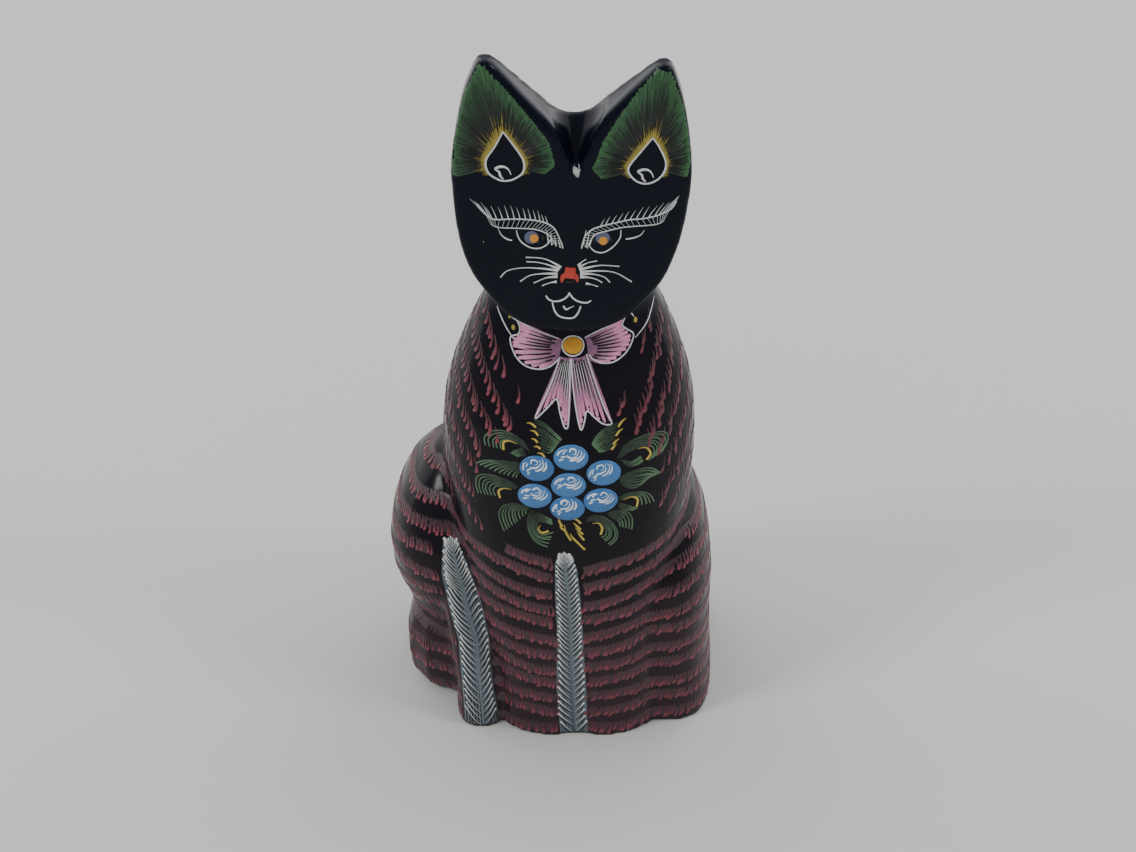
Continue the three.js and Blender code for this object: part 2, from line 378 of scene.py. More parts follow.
def bend(a, b, bow, count=5):
    """Points from a to b on the front view, bowed to the left of the way by a share of the length."""
    (ax, az), (bx, bz) = a, b
    cx = (ax + bx) / 2 - bow * (bz - az)
    cz = (az + bz) / 2 + bow * (bx - ax)
    points = []
    for i in range(count):
        t = i / (count - 1)
        s, m, e = (1 - t) ** 2, 2 * t * (1 - t), t**2
        points.append((s * ax + m * cx + e * bx, s * az + m * cz + e * bz))
    return points


def spread(values, count):
    """Values set out evenly along a stroke and read off at its points."""
    return [float(v) for v in np.interp(np.linspace(0, 1, count), np.linspace(0, 1, len(values)), values)]


def stroke(points, width, kind, tone, above=0.0):
    """A stroke through points of the front view. width, kind and tone together are a mark.

    width is half of its greatest width and above is how far in front of the wood it starts, for paint laid on
    other paint, both in millimetres. tone is given from start to end.
    """
    path = [on_front(x, z) - Vector((0, above * MM, 0)) for x, z in points]
    return path, [width * w for w in spread(kind, len(path))], spread(tone, len(path))


print("a bowed stroke:", bend((0, 0), (10, 0), 0.2))

# %% [markdown]
# ## Materials
# The ground is black nitrocellulose lacquer over sanded wood. It is nearly black, but near the foot it is
# painted a lighter plum, a painted reflection of the pale floor on the low front, and the head is a darker
# blue black, its own tint made darker as painted shade. It mirrors pale lights softly, because it follows the
# knife marks and levels only in part. The decoration is artist's acrylic, which dries to a satin film and
# covers in one coat, a little thinner and darker where the brush ran dry. A picture of the paint would be
# flat and the same from near and far, so the colour comes from the stroke itself and from noise of a real
# size.

# %% Black lacquer
ORANGE_PEEL, PEEL_DEPTH = 1.6 * MM, 0.05 * MM
PATCHES = 14 * MM
# painted reflection: the plum ground shows low on the body in place of the pale floor's glare on the low
# front
PLUM_DARK, PLUM_LIGHT = "#2b2124", "#3c2e35"
LACQUER_ROUGHNESS, LACQUER_IOR = 0.2, 1.25  # an old thin coat, so it mirrors less than a new one would
# painted light by height: the plum foot fades out above 22 mm, and the head is darker as painted shade
PAINTED_LIGHT_BY_HEIGHT = ((22, 62, "#17131a"), (112, 134, "#050b1a"))  # from and to a height in millimetres


def black_lacquer():
    """Gloss black: dark enough that the eye reads the form from its pale reflections."""
    material, tree, shader = new_material("black lacquer on wood")
    place = add(tree, "ShaderNodeTexCoord").outputs["Object"]
    peel = add(tree, "ShaderNodeTexNoise", inputs={"Vector": place, "Scale": 1 / ORANGE_PEEL, "Detail": 2.0})
    uneven = {"Height": peel.outputs["Fac"], "Strength": 0.12, "Distance": PEEL_DEPTH}
    tree.links.new(add(tree, "ShaderNodeBump", inputs=uneven).outputs["Normal"], shader.inputs["Normal"])
    patches = add(tree, "ShaderNodeTexNoise", inputs={"Vector": place, "Scale": 1 / PATCHES, "Detail": 3.0})
    inputs = {0: patches.outputs["Fac"], 6: colour(PLUM_DARK), 7: colour(PLUM_LIGHT)}
    shade = add(tree, "ShaderNodeMix", {"data_type": "RGBA"}, inputs).outputs[2]
    height = add(tree, "ShaderNodeSeparateXYZ", inputs={"Vector": place}).outputs["Z"]
    # lighter low down as painted reflection, darker on the head as painted shade
    for low, high, tone in PAINTED_LIGHT_BY_HEIGHT:
        limits = {"Value": height, "From Min": low * MM, "From Max": high * MM}
        above = add(tree, "ShaderNodeMapRange", {"interpolation_type": "SMOOTHSTEP"}, limits)
        inputs = {0: above.outputs["Result"], 6: shade, 7: colour(tone)}
        shade = add(tree, "ShaderNodeMix", {"data_type": "RGBA"}, inputs).outputs[2]
    tree.links.new(shade, shader.inputs["Base Color"])
    shader.inputs["Roughness"].default_value = LACQUER_ROUGHNESS
    shader.inputs["IOR"].default_value = LACQUER_IOR
    return material


lacquer = black_lacquer()
cat.data.materials.clear()
cat.data.materials.append(lacquer)
print("ground:", lacquer.name)


# %% Acrylic paints
PAINT_PATCHES = 1.3 * MM
DRIFT = 0.2
SATIN, THIN, WET_LOOK, SMOOTH = 0.42, 0.4, 0.35, 0.3  # roughness


def acrylic(name, dark, light, roughness=SATIN, load=None):
    """Acrylic that runs from dark to light with the stroke's tone, times the load of the brush if given."""
    material, tree, shader = new_material(name)
    tone = add(tree, "ShaderNodeAttribute", {"attribute_name": "tone"}).outputs["Fac"]
    if load:
        full = add(tree, "ShaderNodeAttribute", {"attribute_name": load}).outputs["Fac"]
        tone = add(tree, "ShaderNodeMath", {"operation": "MULTIPLY"}, {0: tone, 1: full}).outputs["Value"]
    place = add(tree, "ShaderNodeTexCoord").outputs["Object"]
    inputs = {"Vector": place, "Scale": 1 / PAINT_PATCHES, "Detail": 2.0}
    patchy = add(tree, "ShaderNodeTexNoise", inputs=inputs)
    limits = {"Value": patchy.outputs["Fac"], "To Min": -DRIFT, "To Max": DRIFT}
    drift = add(tree, "ShaderNodeMapRange", inputs=limits).outputs["Result"]
    inputs = {0: tone, 1: drift}
    tone = add(tree, "ShaderNodeMath", {"operation": "ADD", "use_clamp": True}, inputs).outputs["Value"]
    inputs = {0: tone, 6: colour(dark), 7: colour(light)}
    tint = add(tree, "ShaderNodeMix", {"data_type": "RGBA"}, inputs).outputs[2]
    tree.links.new(tint, shader.inputs["Base Color"])
    shader.inputs["Roughness"].default_value = roughness
    return material


white = acrylic("white acrylic", "#7e8488", "#e6e8e8")  # thick and opaque, grey where it thins
leaf_green = acrylic("leaf green acrylic", "#14281a", "#587c57")  # chalky hooks out of a dark wash
ear_green = acrylic("ear green acrylic", "#12261a", "#437c4a")  # hairs that glow at the edge of the ear
yellow = acrylic("yellow acrylic", "#5c5a20", "#dcc050")  # thin, so the black below turns it olive
pink = acrylic("pink acrylic", "#6c4e6a", "#f49cc6")  # greyed at the knot and candy pink at the ends
blue = acrylic("rose blue acrylic", "#285e9c", "#4f8ac6", WET_LOOK)  # thick shiny drops
pale = acrylic("pale rose acrylic", "#9fc4e6", "#f4fafd")  # white that picked up some wet blue
knot_yellow = acrylic("knot yellow acrylic", "#c07f10", "#f2b42c", WET_LOOK)  # one fat egg-yolk dab
orange = acrylic("orange acrylic", "#c87a18", "#f0a83a", WET_LOOK)  # warm points that look alive
scarlet = acrylic("scarlet acrylic", "#a02418", "#dd4a34", WET_LOOK)  # the one pure red
iris_blue = acrylic("iris blue acrylic", "#3a4460", "#6c7696", WET_LOOK)  # dull, to set the orange off
black = acrylic("black acrylic", "#060607", "#101014", SMOOTH)  # duller than the lacquer beside it
wash = acrylic("thin grey wash", "#333e46", "#727f87", THIN)  # smoky, with the black showing through
red = acrylic("fur red acrylic", "#3a1d26", "#a64c5c", THIN, load="bright")  # brick red fading to plum
fur_shade = acrylic("thin fur red wash", "#33222a", "#50323c", THIN)  # a haze under each row
print("paints mixed:", len(bpy.data.materials))

# %% [markdown]
# ## The fur
# Row after row of small red commas hang all over the body like thatch. Each row is level round the haunches
# and the legs, and dips to a point in the middle of the chest. One comma is made once, and Geometry Nodes
# repeat it along the rows, because thousands of strokes by hand would be slow and far heavier.

# %% One comma of fur
HAIR_LENGTH, HAIR_WIDTH, HAIR_SWAY = 4.4, 0.5, 0.12
HAIR_SIDES = 6
HAIR_RINGS = [(0.1, 0.35), (0.55, 0.5), (0.84, 1), (0.95, 0.85)]  # way along it and share of the width


def comma_mesh():
    """One stroke pulled downwards and pressed at its end, with few faces because thousands are laid."""
    points, tones, faces = [], [], []
    for along, share in [(0.0, 0.0), *HAIR_RINGS, (1.0, 0.0)]:
        sway = HAIR_SWAY * math.sin(math.pi * along)
        for k in range(HAIR_SIDES if share else 1):
            turn = math.tau * k / HAIR_SIDES
            x = HAIR_LENGTH * sway + HAIR_WIDTH * share * math.cos(turn)
            points.append((x * MM, -HAIR_LENGTH * along * MM, HAIR_WIDTH * share * math.sin(turn) * MM))
            tones.append(along**2)
    last = 1 + (len(HAIR_RINGS) - 1) * HAIR_SIDES
    for k in range(HAIR_SIDES):
        n = (k + 1) % HAIR_SIDES
        faces.append((0, 1 + k, 1 + n))
        for low in range(1, last, HAIR_SIDES):
            high = low + HAIR_SIDES
            faces.append((low + k, high + k, high + n, low + n))
        faces.append((len(points) - 1, last + n, last + k))
    mesh = bpy.data.meshes.new("fur_comma")
    mesh.from_pydata(points, [], faces)
    mesh.attributes.new("tone", "FLOAT", "POINT").data.foreach_set("value", tones)
    work = bmesh.new()
    work.from_mesh(mesh)
    bmesh.ops.recalc_face_normals(work, faces=work.faces)
    work.to_mesh(mesh)
    work.free()
    return mesh


comma = new_object("fur_comma", comma_mesh())
print("comma:", len(comma.data.polygons), "faces")

# %% Where the fur grows
FUR_TOP, FUR_TOP_CLIMB = 127, 0.05  # its height in front, and what each degree round the cat adds
LEG_ANGLES, LEG_TOPS = (0, 20, 45, 60, 120, 180), (65, 68, 73, 78, 78, 74)
LEG_GAP = 3
# what the rows leave bare in front, in millimetres: middles and half sizes, and how low or high each reaches
BOUQUET = (4.5, 86, 25, 21.5)
BOW_MIDDLE, BOW_HALF, BOW_LOW = 5.2, 17.5, 112
TAILS_HALF, TAILS_LOW = 11.5, 96
MIDDLE_HALF, MIDDLE_TOP = 3.6, 66
MIDDLE_X, MIDDLE_Z, MIDDLE_LEAN = 3.5, 64, 0.042
PAW_HALF, PAW_TOP = 4.9, 60
PAW_HEIGHTS, PAW_MIDDLES = (0, 15.6, 28.5, 40, 49, 57), (-20.6, -21.3, -22.2, -24.8, -27.3, -28.2)


def bare(x, y, z, degrees):
    """Whether a place is left black for something else, or lies above the fur. Millimetres."""
    if z > FUR_TOP + FUR_TOP_CLIMB * abs(degrees):
        return True
    if y > 0:
        return False
    mx, mz, half_width, half_height = BOUQUET
    bouquet = ((x - mx) / half_width) ** 2 + ((z - mz) / half_height) ** 2 < 1
    bow = abs(x - BOW_MIDDLE) < BOW_HALF and z > BOW_LOW
    tails = abs(x - BOW_MIDDLE) < TAILS_HALF and z > TAILS_LOW
    middle_stripe = abs(x - MIDDLE_X - (MIDDLE_Z - z) * MIDDLE_LEAN) < MIDDLE_HALF and z < MIDDLE_TOP
    paw_stripe = abs(x - np.interp(z, PAW_HEIGHTS, PAW_MIDDLES)) < PAW_HALF and z < PAW_TOP
    return bouquet or bow or tails or middle_stripe or paw_stripe


def leg_top(degrees):
    """The height up to which the rows belong to the legs, at an angle round the cat."""
    return float(np.interp(abs(degrees), LEG_ANGLES, LEG_TOPS))


print("rows on the legs end at", leg_top(0), "mm in front and", leg_top(180), "mm behind")

# %% How the rows climb and fade
LEG_CLIMB, LEG_LEVEL = 0.0034, 50
LEFT_CLIMB, RIGHT_CLIMB, SHOULDER = 0.9, 0.64, 60  # millimetres a degree, up to the shoulder
BACK_CLIMB, BACK_LEVEL = 0.3, 50
LEG_LOAD = 0.62
LOAD_ANGLES, CHEST_LOADS = (12, 25, 45, 90), (1.2, 0.75, 0.34, 0.45)
UNEVEN_LOAD = (-0.12, 0.2)


def leg_rise(degrees, z):
    """The rows on the legs are nearly level at the foot and dip more and more in the middle further up."""
    return LEG_CLIMB * z * min(abs(degrees), LEG_LEVEL)


def chest_rise(degrees, _):
    """How far a chest row has climbed at an angle from the front. The cat's left side climbs faster."""
    side = abs(degrees)
    front = (LEFT_CLIMB if degrees > 0 else RIGHT_CLIMB) * min(side, SHOULDER)
    return front + BACK_CLIMB * min(max(side - SHOULDER, 0), BACK_LEVEL)


def brightness(degrees, legs):
    """How loaded the brush was: fullest at the inner ends of the chest rows."""
    load = LEG_LOAD if legs else float(np.interp(abs(degrees), LOAD_ANGLES, CHEST_LOADS))
    return load + rng.uniform(*UNEVEN_LOAD)


print("a chest row climbs", chest_rise(180, 0), "mm to the back")

# %% Rows of the fur
LEG_ROW_STEP, CHEST_ROW_STEP = 5.3, 7.8
LEG_ROWS, CHEST_ROWS = (5.6, 72), (-39.4, 110)  # heights of the first and last row, in front
LEG_WAVER, CHEST_WAVER = 1.6, 1.2
WAVER_SIZE = 2.3
LOWEST_ROW = 5.2
AXIS, CLEAR_OF_CAT = (1.0, 6.0), 0.15  # millimetres, metres
ROW_BREAK = 7
LEAN_OVER = 20  # degrees over which the hairs come to lean outwards in full


def wood_at(angle, z):
    """The wood at a height, seen from outside at an angle round the axis. Angle 0 faces -Y."""
    out = Vector((math.sin(angle), -math.cos(angle), 0))
    middle = Vector((AXIS[0] * MM, AXIS[1] * MM, z * MM))
    return surface.ray_cast(middle + out * CLEAR_OF_CAT, -out)[0]


def fur_rows(ends, step, rise, wanted, waver):
    """Rows as runs of points, broken where the fur is interrupted. A point is (place, lean, brightness)."""
    runs = []
    z, last = ends
    while z < last:
        run = []
        for degrees in range(-180, 181, 2):
            turn = math.radians(degrees)
            drift = noise.noise(Vector((WAVER_SIZE * math.sin(turn), WAVER_SIZE * math.cos(turn), z)))
            height = max(z + rise(degrees, z) + waver * drift, LOWEST_ROW)
            place = wood_at(turn, height)
            kept = place is not None and wanted(height, degrees)
            kept = kept and not bare(place.x / MM, place.y / MM, place.z / MM, degrees)
            if run and not (kept and (run[-1][0] - place).length <= ROW_BREAK * MM):
                runs.append(run)
                run = []
            if kept:
                lean = max(-1, min(1, degrees / LEAN_OVER))
                run.append((place, lean, brightness(degrees, rise is leg_rise)))
        runs.append(run)
        z += step
    return [run for run in runs if len(run) > 1]


def on_legs(z, degrees):
    return z < leg_top(degrees)


def above_legs(z, degrees):
    return z > leg_top(degrees) + LEG_GAP


leg_runs = fur_rows(LEG_ROWS, LEG_ROW_STEP, leg_rise, on_legs, LEG_WAVER)
chest_runs = fur_rows(CHEST_ROWS, CHEST_ROW_STEP, chest_rise, above_legs, CHEST_WAVER)
print("fur rows:", len(leg_runs), "runs on the legs,", len(chest_runs), "on the chest and back")


# %% Repeat the comma along the rows
HAIR_WOBBLE = 0.22
SMALLEST_HAIR, LARGEST_HAIR = (0.8, 0.85, 0.8), (1.2, 1.15, 1.2)


def make_fur():
    """Repeats the comma at even steps along the rows, hanging down, leaning outwards and a little uneven."""
    floats = ("Spacing", "Lean", "Size")
    kinds = {"Comma": "NodeSocketObject", **dict.fromkeys(floats, "NodeSocketFloat"), "Seed": "NodeSocketInt"}
    tree, start, end = group_with("fur_along_rows", {**kinds, **FILM_INPUTS})
    seed = {"Seed": start.outputs["Seed"]}
    curve = add(tree, "GeometryNodeMeshToCurve", inputs={"Mesh": start.outputs["Geometry"]}).outputs["Curve"]
    spacing = {"Curve": curve, "Length": start.outputs["Spacing"]}
    spots = add(tree, "GeometryNodeCurveToPoints", {"mode": "LENGTH"}, spacing).outputs["Points"]
    upright = wood_normal(tree, start)
    up = add(tree, "ShaderNodeCombineXYZ", inputs={"Z": 1.0}).outputs["Vector"]
    inputs = {2: -HAIR_WOBBLE, 3: HAIR_WOBBLE, **seed}
    wobble = add(tree, "FunctionNodeRandomValue", {"data_type": "FLOAT"}, inputs).outputs[1]
    lean = add(tree, "GeometryNodeInputNamedAttribute", {"data_type": "FLOAT"}, {"Name": "lean"})
    inputs = {0: lean.outputs["Attribute"], 1: start.outputs["Lean"], 2: wobble}
    amount = add(tree, "ShaderNodeMath", {"operation": "MULTIPLY_ADD"}, inputs).outputs["Value"]
    cross = add(tree, "ShaderNodeVectorMath", {"operation": "CROSS_PRODUCT"}, {0: up, 1: upright})
    inputs = {0: cross.outputs["Vector"], "Scale": amount}
    sideways = add(tree, "ShaderNodeVectorMath", {"operation": "SCALE"}, inputs).outputs["Vector"]
    leaning = add(tree, "ShaderNodeVectorMath", {"operation": "ADD"}, {0: up, 1: sideways})
    axes = {"Primary Axis": upright, "Secondary Axis": leaning.outputs["Vector"]}
    along = {"primary_axis": "Z", "secondary_axis": "Y"}
    turn = add(tree, "FunctionNodeAxesToRotation", along, axes).outputs["Rotation"]
    limits = {0: SMALLEST_HAIR, 1: LARGEST_HAIR, **seed}
    uneven = add(tree, "FunctionNodeRandomValue", {"data_type": "FLOAT_VECTOR"}, limits).outputs[0]
    inputs = {0: uneven, "Scale": start.outputs["Size"]}
    size = add(tree, "ShaderNodeVectorMath", {"operation": "SCALE"}, inputs).outputs["Vector"]
    shape = add(tree, "GeometryNodeObjectInfo", inputs={"Object": start.outputs["Comma"]}).outputs["Geometry"]
    inputs = {"Points": spots, "Instance": shape, "Rotation": turn, "Scale": size}
    hairs = add(tree, "GeometryNodeInstanceOnPoints", inputs=inputs).outputs["Instances"]
    tree.links.new(pressed_film(tree, start, hairs), end.inputs["Geometry"])
    return tree


fur = make_fur()


def lay_fur(name, runs, spacing, lean, size, seed):
    """Fur along runs of points, spaced in millimetres."""
    paths = [[place for place, _, _ in run] for run in runs]
    leans, brights = zip(*[(lean, bright) for run in runs for _, lean, bright in run])
    mesh = paths_mesh(name, paths, lean=leans, bright=brights)
    values = {"Comma": comma, "Spacing": spacing * MM, "Lean": lean, "Size": size, "Seed": seed}
    return run_tree(fur, mesh, name, {**values, **film(red, 0.03, 0.16)})


SHADE_BELOW, SHADE_HALF, SHADE_TONE = 2.4, 1.7, 0.3
shade = []
for run in leg_runs:
    path = [Vector((p.x, p.y, max(p.z - SHADE_BELOW * MM, SHADE_BELOW * MM))) for p, _, _ in run]
    shade.append((path, [SHADE_HALF] * len(path), [SHADE_TONE] * len(path)))
pieces = [
    paint("dark_fur_shade", shade, fur_shade, 0.0, 0.01, step=1.2, sides=12),
    lay_fur("red_fur_on_legs", leg_runs, 1.12, 0.25, 1.0, 3),
    lay_fur("red_fur_on_chest", chest_runs, 1.85, 0.16, 1.22, 5),
]

# %% [markdown]
# ## The ears
# Each ear is painted like a peacock's eye: a black drop is left bare in the middle, short yellow hairs stand
# round it, and green hairs fan from there to the edge of the ear. The hairs are strokes from the drop
# outwards, so each is found by walking from the middle of the drop to the edge of the ear.

# %% Outlines of the ears
LEFT_EAR = [(-22.8, 172), (-23.4, 179), (-22.1, 187), (-19.9, 194.2), (-17, 199.6), (-14.4, 199.2),
            (-8.6, 192.2), (-3.6, 185.6), (0, 180.5), (1.4, 174.6), (-2.2, 171.3), (-10.9, 170),
            (-18, 170.6)]
RIGHT_EAR = [(10, 173.6), (12.4, 180.6), (16.2, 187.4), (20.6, 193.8), (25, 198.8), (27.8, 198),
             (30.6, 190.4), (32.3, 182), (33, 175.5), (32.4, 171.4), (26, 169.4), (17.5, 169.6),
             (12.4, 170.8)]
LEFT_DROP = [(-10.7, 183.3), (-12.6, 179.6), (-14.8, 176), (-14.4, 172.9), (-12.3, 171.1), (-10.5, 170.6),
             (-8.3, 171.1), (-6.2, 172.9), (-6.1, 176), (-8.4, 179.9)]
RIGHT_DROP = [(24, 181.7), (21.3, 178.1), (18.8, 174.7), (18.6, 172.7), (20.3, 170.6), (22.6, 169.8),
              (25, 170.6), (26.8, 172.7), (27.2, 175.5), (25.7, 179.1)]
DROP_CURLS = [  # the white curl in each drop, from a point near its foot
    ([(-1.8, 2.5), (-0.6, 3), (0.7, 2.9), (1.6, 2), (2, 0.9)], (0.36, COMMA[::-1], (0.9,))),
    ([(-1.8, 2.4), (-0.8, 1.7), (-0.5, 0.6), (0.2, -0.2)], (0.28, LINE, (0.9,))),
]


def edge_at(outline, middle, angle):
    """The point of a closed outline in a direction from its middle."""
    mx, mz = middle
    dx, dz = math.cos(angle), math.sin(angle)
    best = 0
    for (ax, az), (bx, bz) in zip(outline, outline[1:] + outline[:1]):
        ex, ez = bx - ax, bz - az
        cross = dx * ez - dz * ex
        if abs(cross) > 1e-9:
            t = ((ax - mx) * ez - (az - mz) * ex) / cross
            u = ((ax - mx) * dz - (az - mz) * dx) / cross
            if t > best and -1e-6 <= u <= 1 + 1e-6:
                best = t
    return mx + best * dx, mz + best * dz


def between(a, b, share):
    return a[0] + (b[0] - a[0]) * share, a[1] + (b[1] - a[1]) * share


print("edge of the left ear, straight up:", edge_at(LEFT_EAR, (-11, 176), math.pi / 2))

# %% Paint the ears
EAR_HAIRS = 108
GREEN_FAN, YELLOW_FAN = (-16, 212), (-38, 256)  # degrees: where the fan starts and how far it turns
UNEVEN_TURN = 1.2
UPPER_GREEN, OUTER_GREEN = (0.42, 0.78, 0.45), (0.66, 1.0, 0.8)  # where hairs start and end, and their tone
# the marks: half width in millimetres, kind of stroke, tones from start to end
COAT = (0.55, EVEN, (0.0, 0.12, 0.5))
BLACK_HAIR = (0.11, LINE, (0.1,))
YELLOW_ROOT = (0.24, WHISKER, (0.5, 0.0))
YELLOW_HAIR = (0.15, WHISKER, (0.95, 0.35))
DROP_EDGE = (0.24, EVEN, (0.9,))
# reaches are shares of the way from the drop to the edge of the ear
COAT_FROM, COAT_TO, COAT_UNEVEN = 0.2, 0.985, 0.015
GREEN_WIDTH, GREEN_ROOT, GREEN_UNEVEN, GREEN_BOW = (0.16, 0.26), (0, 0.3), (0.6, 1.25), 0.05
START_UNEVEN, FINISH_UNEVEN = (-0.1, 0.1), (-0.04, 0.015)
BLACK_FROM, BLACK_REACH = 0.16, (0.6, 0.98)
YELLOW_REACHES = ((0.26, 0.44), (0.16, 0.3))  # long and short hairs by turns
coat, greens, yellows, whites, darks = [], [], [], [], []
for ear, drop, curl in ((LEFT_EAR, LEFT_DROP, -1), (RIGHT_EAR, RIGHT_DROP, 1)):
    middle = (sum(x for x, _ in drop) / len(drop), sum(z for _, z in drop) / len(drop))

    def hair(angle, start, finish, mark, bow=0.0, count=4):
        """A hair of the ear between two shares of the way from the drop to the edge of the ear."""
        a, b = edge_at(drop, middle, angle), edge_at(ear, middle, angle)
        return stroke(bend(between(a, b, start), between(a, b, finish), bow, count), *mark)

    for k in range(EAR_HAIRS):
        angle = math.radians(GREEN_FAN[0] + GREEN_FAN[1] * k / (EAR_HAIRS - 1))
        coat.append(hair(angle, COAT_FROM, COAT_TO + rng.uniform(-COAT_UNEVEN, COAT_UNEVEN), COAT, count=6))
        for first, last, tone in (UPPER_GREEN, OUTER_GREEN):
            turn = angle + math.radians(rng.uniform(-UNEVEN_TURN, UNEVEN_TURN))
            start, finish = first + rng.uniform(*START_UNEVEN), last + rng.uniform(*FINISH_UNEVEN)
            tones = (rng.uniform(*GREEN_ROOT), tone * rng.uniform(*GREEN_UNEVEN))
            mark = (rng.uniform(*GREEN_WIDTH), COMMA, tones)
            greens.append(hair(turn, start, finish, mark, GREEN_BOW * curl))
        darks.append(hair(turn, BLACK_FROM, rng.uniform(*BLACK_REACH), BLACK_HAIR))
    for k in range(EAR_HAIRS):
        angle = math.radians(YELLOW_FAN[0] + YELLOW_FAN[1] * k / (EAR_HAIRS - 1))
        angle += math.radians(rng.uniform(-UNEVEN_TURN, UNEVEN_TURN))
        yellows.append(hair(angle, 0.02, 0.24, YELLOW_ROOT))
        yellows.append(hair(angle, 0.01, rng.uniform(*YELLOW_REACHES[k % 2]), YELLOW_HAIR))
    whites.append(stroke([*drop, drop[0]], *DROP_EDGE))
    x, z = middle[0] - 0.6, drop[5][1] + 0.7
    for curl_line, mark in DROP_CURLS:
        whites.append(stroke([(x + u, z + v) for u, v in curl_line], *mark))
pieces.append(paint("green_ear_coat", coat, ear_green, 0.02, 0.02))
pieces.append(paint("green_ear_hairs", greens, ear_green, 0.05))
pieces.append(paint("black_ear_hairs", darks, black, 0.11, 0.12, sides=6))
pieces.append(paint("yellow_ear_hairs", yellows, yellow, 0.08, 0.12, sides=6))

# %% [markdown]
# ## The face
# The face is only drawn: white lines for the lids, the lashes, the whiskers and the mouth, two coloured eyes
# and a scarlet nose. The lines stand slightly proud, as thick white paint from a fine brush does.

# %% Lines of the eyes
def along_path(path, share):
    """A point a share of the way along a path of the front view."""
    position = share * (len(path) - 1)
    i = min(int(position), len(path) - 2)
    return between(path[i], path[i + 1], position - i)


LEFT_EYE = {
    "upper": [(-17.2, 163.9), (-15.3, 161.7), (-13.5, 160.4), (-9.7, 160.4), (-6, 160.3), (-2.8, 159.9),
              (-0.4, 159.1), (1.2, 157.7), (2.3, 155.2), (3.1, 152.7)],
    "lower": [(-14.1, 159.1), (-12.4, 158.2), (-8.1, 157.9), (-4.4, 157.7), (-1.7, 157), (0.2, 155.5),
              (1.1, 153.5)],
    "lashes": [(-2.4, 3.3), (-1.8, 3.8), (-1.1, 3.8), (-0.9, 3.6), (-0.6, 3), (-0.6, 2.4)],
    "rim": [(-8, 157.4), (-7.6, 155.5), (-6.5, 153.8), (-4.4, 152.5), (-2.2, 152.5), (-0.4, 153.8),
            (0.4, 155.5)],
    "tick": [(-12.4, 158), (-11.6, 156.1), (-10.3, 155), (-9.1, 154.6)],
    "corner": [(-0.8, 157.4), (-0.3, 153.8), (0.2, 156.8), (0.5, 153.3), (1.1, 155.8), (1.5, 153),
               (2, 154.9), (2.5, 152.6), (2.8, 154.3), (3.1, 152.4)],
}
RIGHT_EYE = {
    "upper": [(30.1, 165.2), (29, 163.3), (27.4, 162.2), (25.5, 161.3), (22.3, 160.5), (19.1, 160.2),
              (15.9, 159.4), (12.7, 158.6), (10.3, 157.7), (8.7, 156.1), (7.9, 154), (7.6, 152.4)],
    "lower": [(27.1, 159.9), (26.3, 159.3), (24.5, 158.8), (20.2, 158.4), (17, 158), (13.8, 157.2),
              (11.1, 156.3), (9.8, 154.6), (9, 152.4)],
    "lashes": [(1.2, 2.6), (2.4, 3.8), (2.2, 3.7), (1.7, 3.2), (1.3, 2.6), (1.1, 2.2)],
    "rim": [(17, 157.4), (16.9, 155.5), (15.9, 153.7), (14.3, 152.1), (12.7, 151.3), (11.1, 151.5),
            (10, 152.4), (9.2, 153.8)],
    "tick": [(22.6, 157.4), (21.8, 156.1), (20.2, 155.3), (18.2, 154.9)],
    "corner": [(8.7, 157.4), (8, 153.5), (9.5, 157), (8.7, 152.7), (10.6, 156.6), (9.5, 153.3),
               (8.2, 155.5), (7.6, 152.4)],
}
EYE_LINES = {
    "upper": (0.18, LINE, (0.9,)),
    "lower": (0.16, LINE, (0.8,)),
    "rim": (0.19, LINE, (0.9,)),
    "tick": (0.24, COMMA, (0.85,)),
}
print("points in the left eye:", sum(len(line) for line in LEFT_EYE.values()))

# %% Draw the eyes
LASHES, LASH = 16, (0.15, WHISKER, (0.8, 0.6))
LASHES_FROM, LASHES_OVER = 0.04, 0.62  # the share of the lid that they start at and cover
LASH_REACH, LASH_BOW = (0.85, 1.05), 0.05
RUNGS, RUNG = 24, (0.11, LINE, (0.6,))  # short strokes between the two lines of the lid
RUNGS_FROM, RUNGS_OVER = 0.12, 0.84
CORNER = (0.24, COMMA, (0.9,))
for eye in (LEFT_EYE, RIGHT_EYE):
    for line, mark in EYE_LINES.items():
        whites.append(stroke(eye[line], *mark))
    for k in range(LASHES):
        share = k / (LASHES - 1)
        x, z = along_path(eye["upper"], LASHES_FROM + LASHES_OVER * share)
        dx, dz = along_path(eye["lashes"], share)
        tip = (x + dx * rng.uniform(*LASH_REACH), z + dz * rng.uniform(*LASH_REACH))
        whites.append(stroke(bend((x, z), tip, LASH_BOW * math.copysign(1, dx), 4), *LASH))
    for k in range(RUNGS):
        share = RUNGS_FROM + RUNGS_OVER * k / (RUNGS - 1)
        foot = along_path(eye["lower"], (share - RUNGS_FROM) / (1 - RUNGS_FROM))
        whites.append(stroke([along_path(eye["upper"], share), foot], *RUNG))
    for k in range(0, len(eye["corner"]), 2):
        whites.append(stroke(eye["corner"][k : k + 2], *CORNER))
print("white strokes of the ears and eyes:", len(whites))

